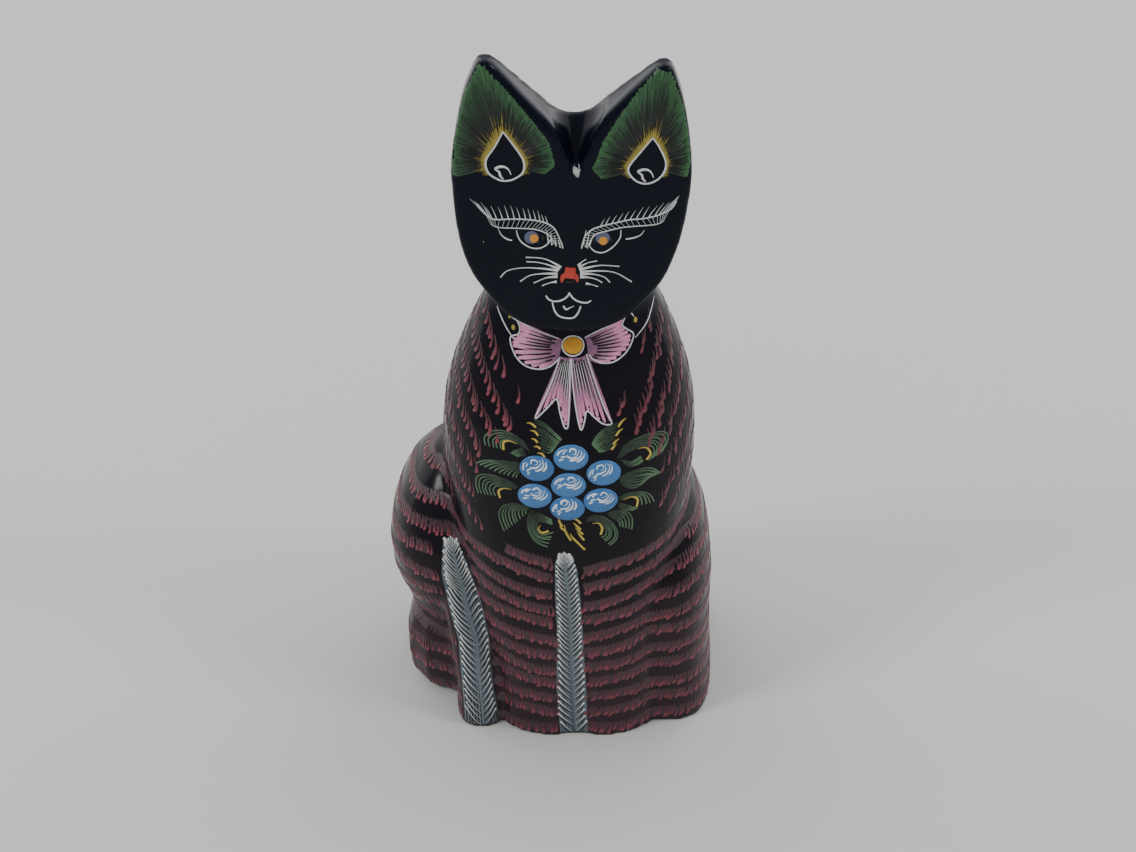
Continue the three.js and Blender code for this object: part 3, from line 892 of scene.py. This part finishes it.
# %% Draw the whiskers, the mouth and the nose
HAIR_OF_WHISKER = (0.4, (1, 0.6, 0.35, 0.35, 0.45), (0.95, 0.8))
LIP = (0.24, EVEN, (0.95,))
WHISKERS = [
    [(2.6, 147.1), (0.4, 148.7), (-2.2, 149.7), (-5.9, 149.9)],
    [(2.3, 146.6), (-0.1, 147.7), (-2.8, 148.5), (-5.7, 148.7)],
    [(2, 146.2), (-1.7, 146.8), (-6.5, 147), (-10.3, 146.2), (-12.1, 144.3)],
    [(1.8, 145.3), (-1.7, 145.4), (-4.9, 144.9), (-7.3, 143.2)],
    [(1.8, 144.5), (-0.6, 144.3), (-2.2, 143.7), (-4, 142.8)],
    [(1.6, 143.1), (-0.1, 142.8), (-2, 142)],
    [(6.9, 147.7), (7.6, 148.6), (8.7, 149.4)],
    [(7, 147.1), (9, 148.4), (11.4, 149)],
    [(7.1, 146.5), (11.1, 147.6), (13.8, 147.7), (16.8, 147.4)],
    [(7.3, 145.8), (11.6, 146.2), (15.9, 145.6), (19.9, 143.1)],
    [(7.3, 145.1), (10, 145.3), (13, 144.5), (14.6, 142.9)],
    [(7.3, 144.4), (9.5, 144.3), (11.4, 143.7), (12.7, 142.8)],
    [(8.7, 142.6), (10.1, 142.3), (11.7, 141.7)],
]
MOUTH = [
    [(-1.1, 139.2), (-0.4, 138.1), (1, 137.5), (2.8, 137.8), (4.2, 138.9), (4.7, 140)],
    [(4.7, 140), (5.2, 138.9), (6.3, 137.8), (7.9, 137.2), (9.2, 137.2), (10, 137.8)],
    [(0.5, 137.2), (1, 135), (2, 133.4), (3.9, 132.7), (5.8, 132.9), (6.9, 134.4), (7.5, 136.2)],
]
SMALL_MARKS = [  # the tongue, and a speck on the cheek
    ([(3.2, 136.2), (3.9, 135.2), (4.7, 135.6), (5.8, 136.2)], (0.3, COMMA[::-1], (0.95,))),
    ([(-16.1, 154.3), (-15.9, 154.2)], (0.2, LINE, (0.7,))),
]
NOSE = [
    ([(5, 147), (4.9, 145.6), (4.7, 144)], (1.45, (0.9, 1, 1, 1), (0.5, 0.7))),
    ([(3.9, 145.6), (3.1, 144.3), (2.8, 142.8)], (0.65, PETAL, (0.6,))),
    ([(6, 145.6), (6.4, 144.3), (6.7, 142.9)], (0.6, PETAL, (0.5,))),
]
UNDER_NOSE = [(3.7, 142.8), (5, 143.1), (6.1, 142.8)]
EYE_CORNERS = [(-1.7, 155.2), (-2.8, 154.3), (10.6, 154.6), (14.8, 154.7)]
whites += [stroke(path, *HAIR_OF_WHISKER) for path in WHISKERS]
whites += [stroke(path, *LIP) for path in MOUTH]
whites += [stroke(path, *mark) for path, mark in SMALL_MARKS]
nose = [stroke(path, *mark) for path, mark in NOSE]
darks = [stroke(UNDER_NOSE, 0.3, LINE, (0.2,))]
darks += [stroke([(x, z + 0.7), (x, z - 0.7)], 0.7, PETAL, (0.1,)) for x, z in EYE_CORNERS]
pieces.append(paint("scarlet_nose", nose, scarlet, 0.05, 0.12))
pieces.append(paint("black_face_marks", darks, black, 0.12, 0.1))
print("white strokes on the head:", len(whites))

# %% [markdown]
# ## Dabs
# The eyes, the roses and the knot of the bow are dabs: a loaded brush is touched down and lifted, and the
# paint dries as a low dome. A dab is a ball pressed on the wood by the same pressing as the strokes.


# %% Dabs of paint
BALL_SEGMENTS, BALL_RINGS = 28, 16
DAB_TONES = (0.3, 0.7)


def make_dab():
    """Puts a ball of its own size at each point and presses it on the wood."""
    tree, start, end = group_with("dabs", FILM_INPUTS)
    inputs = {"Segments": BALL_SEGMENTS, "Rings": BALL_RINGS, "Radius": 1.0}
    ball = add(tree, "GeometryNodeMeshUVSphere", inputs=inputs).outputs["Mesh"]
    size = add(tree, "GeometryNodeInputNamedAttribute", {"data_type": "FLOAT_VECTOR"}, {"Name": "size"})
    inputs = {"Points": start.outputs["Geometry"], "Instance": ball, "Scale": size.outputs["Attribute"]}
    dabs = add(tree, "GeometryNodeInstanceOnPoints", inputs=inputs).outputs["Instances"]
    tree.links.new(pressed_film(tree, start, dabs), end.inputs["Geometry"])
    return tree


dab = make_dab()


def dab_paint(name, dabs, material, lift, relief):
    """Dabs of one paint, each (x, z, half width, half height) on the front view."""
    mesh = bpy.data.meshes.new(name)
    mesh.from_pydata([on_front(x, z) for x, z, _, _ in dabs], [], [])
    sizes = [c * MM for _, _, w, h in dabs for c in (w, min(w, h), h)]
    mesh.attributes.new("size", "FLOAT_VECTOR", "POINT").data.foreach_set("vector", sizes)
    tones = [rng.uniform(*DAB_TONES) for _ in dabs]
    mesh.attributes.new("tone", "FLOAT", "POINT").data.foreach_set("value", tones)
    return run_tree(dab, mesh, name, film(material, lift, relief))


IRISES = [(-4.4, 155.3, 1.75, 1.75), (12.7, 155.2, 1.75, 1.75)]
PUPILS = [(-3.8, 155.1, 1.05, 1.15), (12.8, 154.5, 1.05, 1.15)]
pieces.append(dab_paint("blue_irises", IRISES, iris_blue, 0.02, 0.03))
pieces.append(dab_paint("orange_pupils", PUPILS, orange, 0.14, 0.06))

# %% [markdown]
# ## The bow and the collar
# The bow is filled with a fan of thin grey-pink strokes that start at the knot and turn pinker towards the
# ends. Black pleats are drawn over the fan while it is still soft, and a white line is run round it all last.

# %% Outlines of the bow
KNOT = (5.6, 121.6)
LEFT_LOBE = {
    "root": [(2.7, 122.8), (2.6, 122.3), (2.6, 121.4), (2.5, 120.6), (2.2, 119.4), (1.6, 118.2)],
    "end": [(-8.3, 126.6), (-7.8, 125.2), (-8.3, 123.3), (-10.1, 121.9), (-10.1, 120.6), (-9.2, 118.2),
            (-6.5, 116.5), (-3, 116.1)],
}
RIGHT_LOBE = {
    "root": [(8.7, 123), (9, 122.3), (9.2, 121.4), (9.3, 120.6), (9.4, 119.4), (9.9, 118.4)],
    "end": [(18.4, 127.4), (18, 125.9), (19.3, 124.5), (20.7, 122.6), (20.3, 120.9), (18.9, 119.2),
            (16.4, 117.7), (13.6, 117.3)],
}
LEFT_TAIL = {
    "root": [(2.8, 118.9), (3.6, 118.7), (4.3, 118.7), (5.1, 118.7)],
    "end": [(-4, 104.2), (-1, 106.6), (1.4, 108.9), (2.3, 106.6), (3.2, 102.4), (4.2, 102.4)],
}
RIGHT_TAIL = {
    "root": [(5.1, 118.7), (6.2, 118.7), (7.6, 118.7), (9, 119.4)],
    "end": [(7.6, 101.6), (8.1, 103.5), (9.4, 106.2), (11.1, 104.2), (13.3, 102.6), (15.4, 102.9)],
}


def fan(part, count, mark, first=0.0, last=1.0, jitter=0.0):
    """Strokes from the root line of a part to its end line."""
    fanned = []
    for k in range(count):
        share = k / (count - 1)
        a, b = along_path(part["root"], share), along_path(part["end"], share)
        near, far = first + rng.uniform(0, jitter), last - rng.uniform(0, jitter)
        fanned.append(stroke(bend(between(a, b, near), between(a, b, far), 0, 6), *mark))
    return fanned


print("half way along the left lobe:", along_path(LEFT_LOBE["end"], 0.5))

# %% Fill the bow
LOBE_FILL = (0.62, EVEN, (0.15, 0.2, 0.35, 0.6, 0.95, 1))
LOBE_PLEAT = (0.26, (1, 0.9, 0.8, 0.6, 0.25), (0.2,))
LOBE_STREAK = (0.06, LINE, (0.5,))
TAIL_FILL = (0.5, EVEN, (0.15, 0.15, 0.2, 0.6, 1))
TAIL_PLEAT = (0.2, WHISKER, (0.2,))
TAIL_STREAK = (0.09, LINE, (0.7,))
FILL_END = 0.97
pinks, pleats = [], []
for part in (LEFT_LOBE, RIGHT_LOBE):
    pinks += fan(part, 13, LOBE_FILL, last=FILL_END)
    pleats += fan(part, 11, LOBE_PLEAT, first=0.08, last=0.86, jitter=0.16)[1:-1]
    whites += fan(part, 10, LOBE_STREAK, first=0.3, last=0.92, jitter=0.15)[1:-1]
for part in (LEFT_TAIL, RIGHT_TAIL):
    pinks += fan(part, 8, TAIL_FILL, last=FILL_END)
    pleats += fan(part, 9, TAIL_PLEAT, first=0.03, last=0.68, jitter=0.12)[1:-1]
    whites += fan(part, 8, TAIL_STREAK, first=0.02, last=0.68, jitter=0.08)[1:-1]
pieces.append(paint("pink_bow", pinks, pink, 0.03, 0.08))

# %% Draw round the bow and the collar
DOTS = [(-9.5, 121.6), (-6.5, 116.6), (-3.2, 116.5), (19.5, 119.7), (17.9, 118.9), (6.2, 118), (7.6, 118.2),
        (4.3, 118.2), (-1.6, 106.7), (2.7, 106.6), (-3.5, 104.8), (0.4, 108.9), (8.1, 104.8), (9.7, 107.2),
        (12.2, 104.8), (11, 106.2), (3.9, 103.5), (8.3, 103.8), (13.3, 103.5)]
DOT, OUTLINE, COLLAR_LINE = (0.3, LINE, (0.1,)), (0.2, EVEN, (0.9,)), (0.2, LINE, (0.9,))
KNOT_HALF, RING_HALF = (2.5, 2.25), (2.75, 2.45)
RING_TURNS = [k / 10 * math.pi for k in range(21)]
KNOT_RING = [(KNOT[0] + RING_HALF[0] * math.cos(a), KNOT[1] + RING_HALF[1] * math.sin(a)) for a in RING_TURNS]
OUTLINES = [
    [(2, 123.3), (-1.6, 124.5), (-5.1, 125.7), (-8.3, 126.9), (-7.8, 125.4), (-8.1, 123.5), (-10.1, 122.3),
     (-10.1, 120.6), (-8.8, 118), (-6.5, 116.3), (-3.2, 115.8), (-0.2, 116.6), (2, 118.4)],
    [(8.5, 123.5), (11.9, 125.2), (15.4, 126.4), (18.6, 128.1), (18, 126), (19.1, 124.7), (20.9, 123),
     (20.3, 120.7), (18.7, 118.7), (16.1, 117.3), (13.3, 117.2), (10.8, 118.2), (9.6, 119.4)],
    [(2.3, 118.9), (0.9, 114.8), (-1.2, 110), (-4, 104.2), (-1.2, 106.6), (1.4, 109.1), (2.3, 105.9),
     (3.4, 102.4), (4.3, 102.4), (4.6, 106.6), (4.8, 112), (4.9, 118.5)],
    [(5.2, 118.5), (5.5, 113.4), (6.4, 106.6), (7.6, 101.6), (8.5, 103.5), (9.2, 106.2), (11.5, 104.2),
     (13.6, 102.7), (15.5, 102.9), (13.6, 106.6), (11.1, 113.4), (9, 119.5)],
    KNOT_RING,
]
COLLAR = [
    [(-13.6, 128.6), (-12.6, 126.6), (-11.3, 124.4), (-9.4, 121.9)],
    [(-10.4, 128.1), (-9.7, 127.4), (-8.3, 126.7)],
    [(26.2, 129.6), (25.6, 127.6), (24.2, 124.6), (21.4, 121.9)],
    [(19.1, 129.1), (20.3, 128.4), (20.9, 127.4)],
]
pleats += [stroke([(x - 0.15, z - 0.2), (x + 0.15, z + 0.2)], *DOT) for x, z in DOTS]
whites += [stroke(line, *OUTLINE) for line in OUTLINES]
whites += [stroke(line, *COLLAR_LINE) for line in COLLAR]
pieces.append(paint("black_pleats", pleats, black, 0.12, 0.12))
pieces.append(dab_paint("yellow_knot", [(*KNOT, *KNOT_HALF)], knot_yellow, 0.08, 0.16))
BEADS = [(-9.5, 124.8, 0.55, 0.75), (-10.4, 127.2, 0.4, 0.5), (21.4, 126.4, 0.55, 0.8),
         (19, 128.9, 0.35, 0.35)]
pieces.append(dab_paint("yellow_collar_beads", BEADS, yellow, 0.05, 0.3))

# %% [markdown]
# ## The bouquet
# Seven blue roses are thick round dabs. While the blue is wet, a smaller brush lays pale commas on it in
# broken rings, which is the oldest way to suggest a rose with few strokes. The leaves are plumes of green
# hooks: the outer hook and the innermost one are given, and the hooks between them follow from those two.

# %% Paint the roses
ROSES = [(5.1, 94.4), (4.5, 86.6), (4.2, 79.8), (-3.7, 91.1), (-4.3, 83.2), (13.6, 89.8), (12.9, 81.9)]
ROSE_WIDTH, ROSE_HEIGHT = 4.55, 3.6
SWIRL = [  # the pale arcs, in a rose that reaches 1 each way from its middle
    [(-0.66, -0.22), (-0.54, -0.1), (-0.4, -0.03)],
    [(-0.62, 0.08), (-0.44, 0.14), (-0.28, 0.2)],
    [(-0.16, 0.6), (-0.08, 0.8), (0.12, 0.84), (0.24, 0.66), (0.14, 0.46), (-0.04, 0.44)],
    [(-0.3, 0.3), (-0.06, 0.18), (0.2, 0.26), (0.38, 0.5), (0.38, 0.78)],
    [(-0.1, -0.02), (0.2, 0.02), (0.46, 0.26), (0.56, 0.56), (0.52, 0.8)],
    [(0.34, -0.12), (0.58, 0.08), (0.7, 0.34), (0.7, 0.6)],
    [(-0.84, 0.16), (-0.78, 0.42), (-0.58, 0.66), (-0.4, 0.76)],
    [(-0.58, 0.38), (-0.46, 0.58), (-0.3, 0.7)],
]
roses = dab_paint("blue_roses", [(x, z, ROSE_WIDTH, ROSE_HEIGHT) for x, z in ROSES], blue, 0.05, 0.2)
ROSE_TURN, UNEVEN_ARC, PETAL_WIDTH = 24, 0.04, (0.2, 0.34)
ABOVE_ROSE = 1.5  # so that the nearest part of the rose is its front
petals = []
for x, z in ROSES:
    turn = math.radians(rng.uniform(-ROSE_TURN, ROSE_TURN))
    sine, cosine = math.sin(turn), math.cos(turn)
    for arc in SWIRL:
        path = []
        for u, v in arc:
            u += rng.uniform(-UNEVEN_ARC, UNEVEN_ARC)
            v += rng.uniform(-UNEVEN_ARC, UNEVEN_ARC)
            path.append((x + (u * cosine - v * sine) * ROSE_WIDTH, z + (u * sine + v * cosine) * ROSE_HEIGHT))
        petals.append(stroke(path, rng.uniform(*PETAL_WIDTH), COMMA[::-1], (1, 0.85, 0.5), ABOVE_ROSE))
pieces += [roses, paint("pale_rose_petals", petals, pale, 0.02, 0.3, step=0.2, ground=roses)]

# %% Outlines of the leaves
PLUMES = [  # the outer hook, the inner hook, and how many there are
    ([(-5.5, 95.3), (-8.1, 99.1), (-13.3, 100.3), (-17.2, 97.6), (-17, 94.8)],
     [(-6.8, 96.7), (-8.5, 97.4), (-10.9, 98.1), (-13.1, 97.2), (-12.9, 95)], 4),
    ([(-6.8, 96.7), (-8.1, 95.7), (-9.4, 95.3), (-10.3, 94.3)],
     [(-6.4, 94.5), (-7.2, 94.3), (-8.1, 94.1), (-8.8, 93.8)], 3),
    ([(-8.1, 92.2), (-13.3, 91.7), (-17.2, 90.7), (-19.6, 88.8)],
     [(-7.9, 90.5), (-8.3, 89.5), (-8.8, 88.8), (-9, 87.9)], 8),
    ([(-8.5, 85.2), (-12.4, 87.2), (-18.5, 86.7), (-20, 83.3), (-19.2, 80)],
     [(-9.4, 84.5), (-11.6, 85), (-14.2, 84.5), (-15.3, 82.9), (-14.6, 81.2)], 5),
    ([(-6.8, 80), (-11.6, 80), (-14.2, 75.7), (-12.4, 70.7)],
     [(-5.7, 79.5), (-6.2, 79.1), (-6.8, 78.3), (-6.6, 77.4)], 7),
    ([(-5.1, 79.1), (-6.6, 74.8), (-4.6, 69), (-1, 67.5)],
     [(-2.9, 77.6), (-4.2, 73.8), (-2.9, 70.9), (0.5, 72.4)], 4),
    ([(-3.8, 78.1), (-2.5, 77.6), (-0.8, 76.7), (0.1, 76.2)],
     [(-3.8, 75.7), (-2.5, 75.7), (-0.8, 75.2), (0.3, 74.8)], 3),
    ([(9.2, 76.9), (13.5, 77.6), (17.2, 73.3), (17.6, 69.5), (15.5, 67.4)],
     [(9.2, 75.7), (11.8, 76), (14.2, 74), (14.4, 71.4), (13.1, 70.5)], 4),
    ([(14.4, 77.9), (18.7, 78.6), (21.5, 75.2), (21.2, 71.4)],
     [(15, 76.9), (16.6, 76), (17.9, 74.5), (18.1, 73.1)], 4),
    ([(17.4, 82.4), (21.3, 83.1), (25.7, 81.4), (27, 77.9)],
     [(17.6, 81.2), (20.5, 82.1), (23.5, 81), (23.7, 78.3)], 3),
    ([(17.4, 80.5), (19.2, 79.5), (20.9, 78.6), (22.6, 77.6)],
     [(17.4, 79.5), (18.7, 78.6), (20.5, 77.6), (21.5, 77.4)], 2),
    ([(17.4, 88.1), (22.2, 89.3), (26.1, 88.8), (28.5, 86)],
     [(17.9, 86.7), (20, 84.3), (23.1, 84.3), (25.4, 86.2)], 6),
    ([(17, 93.6), (20.5, 98.1), (28.7, 98.4), (30.8, 95), (28.7, 91.9)],
     [(17.9, 93.4), (20.5, 95.3), (24.8, 95.7), (27, 93.4), (25.2, 91)], 5),
    ([(17.9, 92.9), (19.6, 91.9), (21.3, 91.9), (23.1, 92.9)],
     [(18.7, 91.9), (20.5, 90.5), (22.2, 90.5), (23.9, 91.2)], 3),
    ([(-4.6, 103.8), (-1.6, 103.1), (1, 100.7), (2.7, 99.1)],
     [(-2.7, 96.2), (-1.6, 95.7), (-0.5, 95.5), (0.5, 96.2)], 8),
    ([(17.9, 102.9), (14, 101.9), (11.2, 99.5), (10.5, 97.6)],
     [(16.1, 96.7), (14.8, 96), (13.1, 95.5), (12.2, 95.7)], 8),
]
GOLDEN = [  # the yellow hooks
    [(-8.8, 97.2), (-10.7, 97.6), (-12.2, 96.9), (-12.2, 94.9)],
    [(-10.3, 84.3), (-12.4, 84.1), (-13.7, 82.9), (-13.3, 81)],
    [(-2.7, 74.5), (-3.4, 73.3), (-2.5, 72.1), (-0.7, 72.8)],
    [(10.7, 75.1), (12.4, 75), (13.3, 73.3), (12.9, 71.4)],
    [(18.7, 81.3), (20.9, 81.7), (22.5, 80.5), (22.3, 78.3)],
    [(22.4, 95), (24.4, 94.8), (25.7, 92.9), (24.6, 91.4)],
    [(-6.2, 102.8), (-5.1, 102.8), (-3.8, 101.9)],
    [(-5.4, 101), (-4.2, 100.9), (-3.3, 99.9)],
    [(-5.1, 99), (-4.2, 98.9), (-3.4, 98.1)],
    [(-4.4, 96.9), (-3.6, 97.1), (-2.7, 96.5)],
    [(-3.6, 95.3), (-2.5, 95.3), (-1.6, 94.4)],
    [(19.2, 103.6), (18.1, 102.9), (17.2, 101.7)],
    [(18.4, 101.1), (17.4, 100.5), (16.6, 99.5)],
    [(17.5, 98.8), (16.6, 98.1), (15.9, 97.4)],
    [(16.8, 97.4), (16.1, 96.7), (15.5, 96)],
    [(1.8, 77.1), (2.1, 75.7), (2.9, 74.3)],
    [(2.3, 76.2), (2.5, 74), (3.6, 72.9)],
    [(3.4, 74.8), (3.8, 72.4), (5.1, 69.8)],
    [(4.9, 72.1), (5.7, 70.5), (7.3, 68.6)],
    [(6, 70.5), (7.3, 68.6), (8.8, 66.7)],
    [(5.3, 76.7), (6.6, 76.4), (7.7, 75.2)],
    [(5.7, 75.5), (6.6, 74.5), (7.7, 73.3)],
    [(6.3, 74), (7, 73.1), (8.3, 71.7)],
    [(6.7, 72.6), (7.5, 71.4), (8.6, 69.8)],
]
print("plumes:", len(PLUMES), "and yellow hooks:", len(GOLDEN))

# %% Paint the leaves
HOOK, HOOK_TONES = (0.4, 0.6, 0.75, 1, 0.9), (0.35, 0.55, 1)
HOOK_WIDTH, HOOK_UNEVEN, HOOK_POINTS = (0.19, 0.26), 0.2, 6
LEAF_SHADOW = (0.36, PETAL, (0.0, 0.15))
GOLD = (0.36, (0.3, 0.5, 0.8, 1, 0.8), (0.35, 0.7, 0.9))
CROWDING = 1.3  # narrow hooks stand closer together than the counts say
leaves = []
for outer, inner, count in PLUMES:
    count = round(CROWDING * count)
    for k in range(count):
        share = min(1, max(0, (k + rng.uniform(-HOOK_UNEVEN, HOOK_UNEVEN)) / (count - 1)))
        shares = [i / (HOOK_POINTS - 1) for i in range(HOOK_POINTS)]
        path = [between(along_path(outer, t), along_path(inner, t), share) for t in shares]
        leaves.append(stroke(path, rng.uniform(*HOOK_WIDTH), HOOK, HOOK_TONES))
        leaves.append(stroke([between(a, path[0], 0.12) for a in path[:4]], *LEAF_SHADOW))
gold = [stroke(path, *GOLD) for path in GOLDEN]
pieces.append(paint("green_leaves", leaves, leaf_green, 0.03))
pieces.append(paint("yellow_leaf_lights", gold, yellow, 0.12))

# %% [markdown]
# ## The grey stripes
# Two grey stripes run down the front like feathers: one in the middle and one on the hind paw. A thin wash
# goes on first, in narrow strokes side by side, because one broad stroke would bridge the crease beside the
# paw. White barbs are then pulled from the middle of the feather outwards, each with a bead of paint at its
# end, and a narrow black gap is drawn beside each.

# %% Outlines of the stripes
STRIPES = [
    {"left": [(1.9, 64.6), (1.2, 61.7), (1.3, 50), (1.7, 40), (1.6, 30), (1.4, 18), (2.4, 0.9)],
     "rib": [(3.2, 64.8), (3.5, 60), (4.5, 50), (4.9, 40), (5.2, 30), (5.7, 16), (6.3, 0.9)],
     "right": [(4.8, 64.6), (6.4, 60), (7.3, 50), (7.9, 40), (8.4, 30), (9.1, 18), (9.8, 0.9)]},
    {"left": [(-29.6, 57.2), (-30.1, 48), (-29, 39.6), (-25.9, 28.2), (-25.3, 15.4), (-24.9, 0.9)],
     "rib": [(-27.5, 57.6), (-26, 48.6), (-24.2, 40.2), (-21.1, 28.4), (-20.5, 15.6), (-19.8, 0.9)],
     "right": [(-26, 57.4), (-22.9, 49.4), (-19.7, 41), (-18, 28.8), (-17.2, 15.8), (-15.4, 0.9)]},
]
print("the middle stripe is", STRIPES[0]["rib"][0][1] - STRIPES[0]["rib"][-1][1], "mm high")

# %% Paint the stripes
BARB_STEP, BARB_RISE, BARB_BOW = 1.75, 1.15, -0.08
BARB, BARB_WIDTH, BARB_REACH, BARB_TIP = (0.35, 0.5, 0.7, 0.95, 1.6), 0.21, (0.88, 1.06), (0.9, 1.2)
BARB_ROOT, GAP_ROOT, ROOT_UNEVEN = 0.1, 0.2, 0.3
STRIPE_HEIGHT, ABOVE_RIB = 62, 0.6
WASH_STROKES, WASH_STEPS, WASH_WIDTH, WASH_TONES = 13, 40, 0.42, (0.3, 0.9)
GAP = (0.17, EVEN, (0.1,))
TOP_BARBS, TOP_BARB = 7, (0.15, BARB, (0, 0.5, 1))
washes, barbs, gaps = [], [], []
for stripe in STRIPES:
    rib = stripe["rib"]
    for j in range(WASH_STROKES):
        share = j / (WASH_STROKES - 1)
        edge, across = (stripe["left"], 1 - 2 * share) if share < 0.5 else (stripe["right"], 2 * share - 1)
        steps = [i / WASH_STEPS for i in range(WASH_STEPS + 1)]
        path = [between(along_path(rib, t), along_path(edge, t), across) for t in steps]
        washes.append(stroke(path, WASH_WIDTH, EVEN, (rng.uniform(*WASH_TONES), rng.uniform(*WASH_TONES))))
    count = int(sum(math.dist(a, b) for a, b in zip(rib, rib[1:])) / BARB_STEP)
    for k in range(count + 1):
        share = k / count
        x, z = along_path(rib, share)
        for edge in (stripe["left"], stripe["right"]):
            edge_x, _ = along_path(edge, share)
            reach = (edge_x - x) * rng.uniform(*BARB_REACH)
            bow = BARB_BOW * math.copysign(1, reach)
            rise = min(BARB_RISE * abs(reach), rib[0][1] + ABOVE_RIB - z)
            tip_x = x + reach + along_path(edge, max(0, share - rise / STRIPE_HEIGHT))[0] - edge_x
            root = (x + BARB_ROOT * reach, z + rng.uniform(-ROOT_UNEVEN, ROOT_UNEVEN))
            tones = (0.35, 0.7, rng.uniform(*BARB_TIP))
            barbs.append(stroke(bend(root, (tip_x, z + rise), bow, 6), BARB_WIDTH, BARB, tones))
            low = z - 0.5 * BARB_STEP
            root = (x + GAP_ROOT * reach, low + BARB_ROOT * rise)
            gaps.append(stroke(bend(root, (tip_x, low + rise), bow, 6), *GAP))
    for k in range(TOP_BARBS):
        x, z = between(stripe["left"][0], stripe["right"][0], k / (TOP_BARBS - 1))
        root, tip = (0.7 * rib[0][0] + 0.3 * x, rib[0][1] - 3), (x, z + 1.4 - 0.45 * abs(k - TOP_BARBS // 2))
        barbs.append(stroke(bend(root, tip, 0, 5), *TOP_BARB))
pieces.append(paint("grey_wash", washes, wash, 0.02, 0.02, step=0.5, sides=6))
pieces.append(paint("white_barbs", barbs, white, 0.09, 0.24, step=0.3, sides=6))
pieces.append(paint("black_gaps", gaps, black, 0.07, 0.12, step=0.4, sides=6))

# %% Finish the white and the worn spot
WORN = [  # where the lacquer has rubbed off between the ears
    ([(5.7, 174), (6.3, 172.8), (6.7, 171.4)], (0.8, PETAL, (0.2, 0.5, 0.1))),
    ([(6.9, 174.2), (7.2, 173)], (0.5, PETAL, (0.4, 0.2))),
]
worn = [stroke(path, *mark) for path, mark in WORN]
pieces.append(paint("white_lines", whites, white, 0.16, 0.3, step=0.25))
pieces.append(paint("worn_spot", worn, white, 0.02, 0.06))
bpy.data.objects.remove(comma)

# %% [markdown]
# ## Handing over the pieces
# The sanded cat takes the place of the carved block, and every layer of paint rides on it.

# %% Mark the pieces
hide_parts("carved_cat")
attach(cat, "root")
for piece in pieces:
    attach(piece, "root")
print("pieces:", 1 + len(pieces), "faces:", sum(len(o.data.polygons) for o in (cat, *pieces)))

# %% [markdown]
# ## Camera, floor and light
# The photograph looks down on the cat from the height of a standing person's hand. A pale sweep of paper and
# large soft lights give the lacquer broad pale reflections, which is how gloss black is made readable.

# %% Camera and floor
EYE_POINT, LOOKS_DOWN, LENS = (4.349, -408.15, 366.06), 35, 57.04  # millimetres, degrees, millimetres
FLOOR = 8.0
camera = bpy.data.cameras.new("photo camera")
camera.sensor_width = 36
camera.lens = LENS
camera.clip_start = 0.01
view = new_object("photo camera", camera)
view.location = Vector(EYE_POINT) * MM
view.rotation_euler = (math.radians(90 - LOOKS_DOWN), 0, 0)
bpy.context.scene.camera = view

corners = [(-FLOOR, -FLOOR, 0), (FLOOR, -FLOOR, 0), (FLOOR, FLOOR, 0), (-FLOOR, FLOOR, 0)]
sweep = bpy.data.meshes.new("paper sweep")
sweep.from_pydata(corners, [], [(0, 1, 2, 3)])
paper, _, paper_shader = new_material("pale grey paper")  # matt, so that it only throws light back up
paper_shader.inputs["Base Color"].default_value = colour("#cfcfcd")
paper_shader.inputs["Roughness"].default_value = 0.85
sweep.materials.append(paper)
new_object("paper sweep", sweep)
print("camera and floor:", view.name, "and", sweep.name)

# %% Lights
AIM = Vector((0, 0, 0.1))
LIGHTS = {  # place in metres, side in metres, watts
    "left softbox": ((-0.85, -0.4, 1.0), 0.3, 6),
    "left sheet": ((-0.95, 0.75, 0.6), 1.5, 10.5),
    "right softbox": ((0.95, -0.3, 0.95), 0.3, 4.5),
    "right sheet": ((0.95, 0.75, 0.6), 1.5, 10.5),
    "overhead sheet": ((0, 0.75, 1.15), 1.2, 4),
}
for name, (place, side, watts) in LIGHTS.items():
    lamp = bpy.data.lights.new(name, "AREA")
    lamp.size = side
    lamp.energy = watts
    light = new_object(name, lamp)
    light.location = place
    light.rotation_euler = (AIM - Vector(place)).to_track_quat("-Z", "Y").to_euler()
world = bpy.data.worlds.new("studio")
world.use_nodes = True
background = world.node_tree.nodes["Background"]
background.inputs["Color"].default_value = colour("#d8dadc")
background.inputs["Strength"].default_value = 0.6
bpy.context.scene.world = world
print("lights:", ", ".join(LIGHTS))
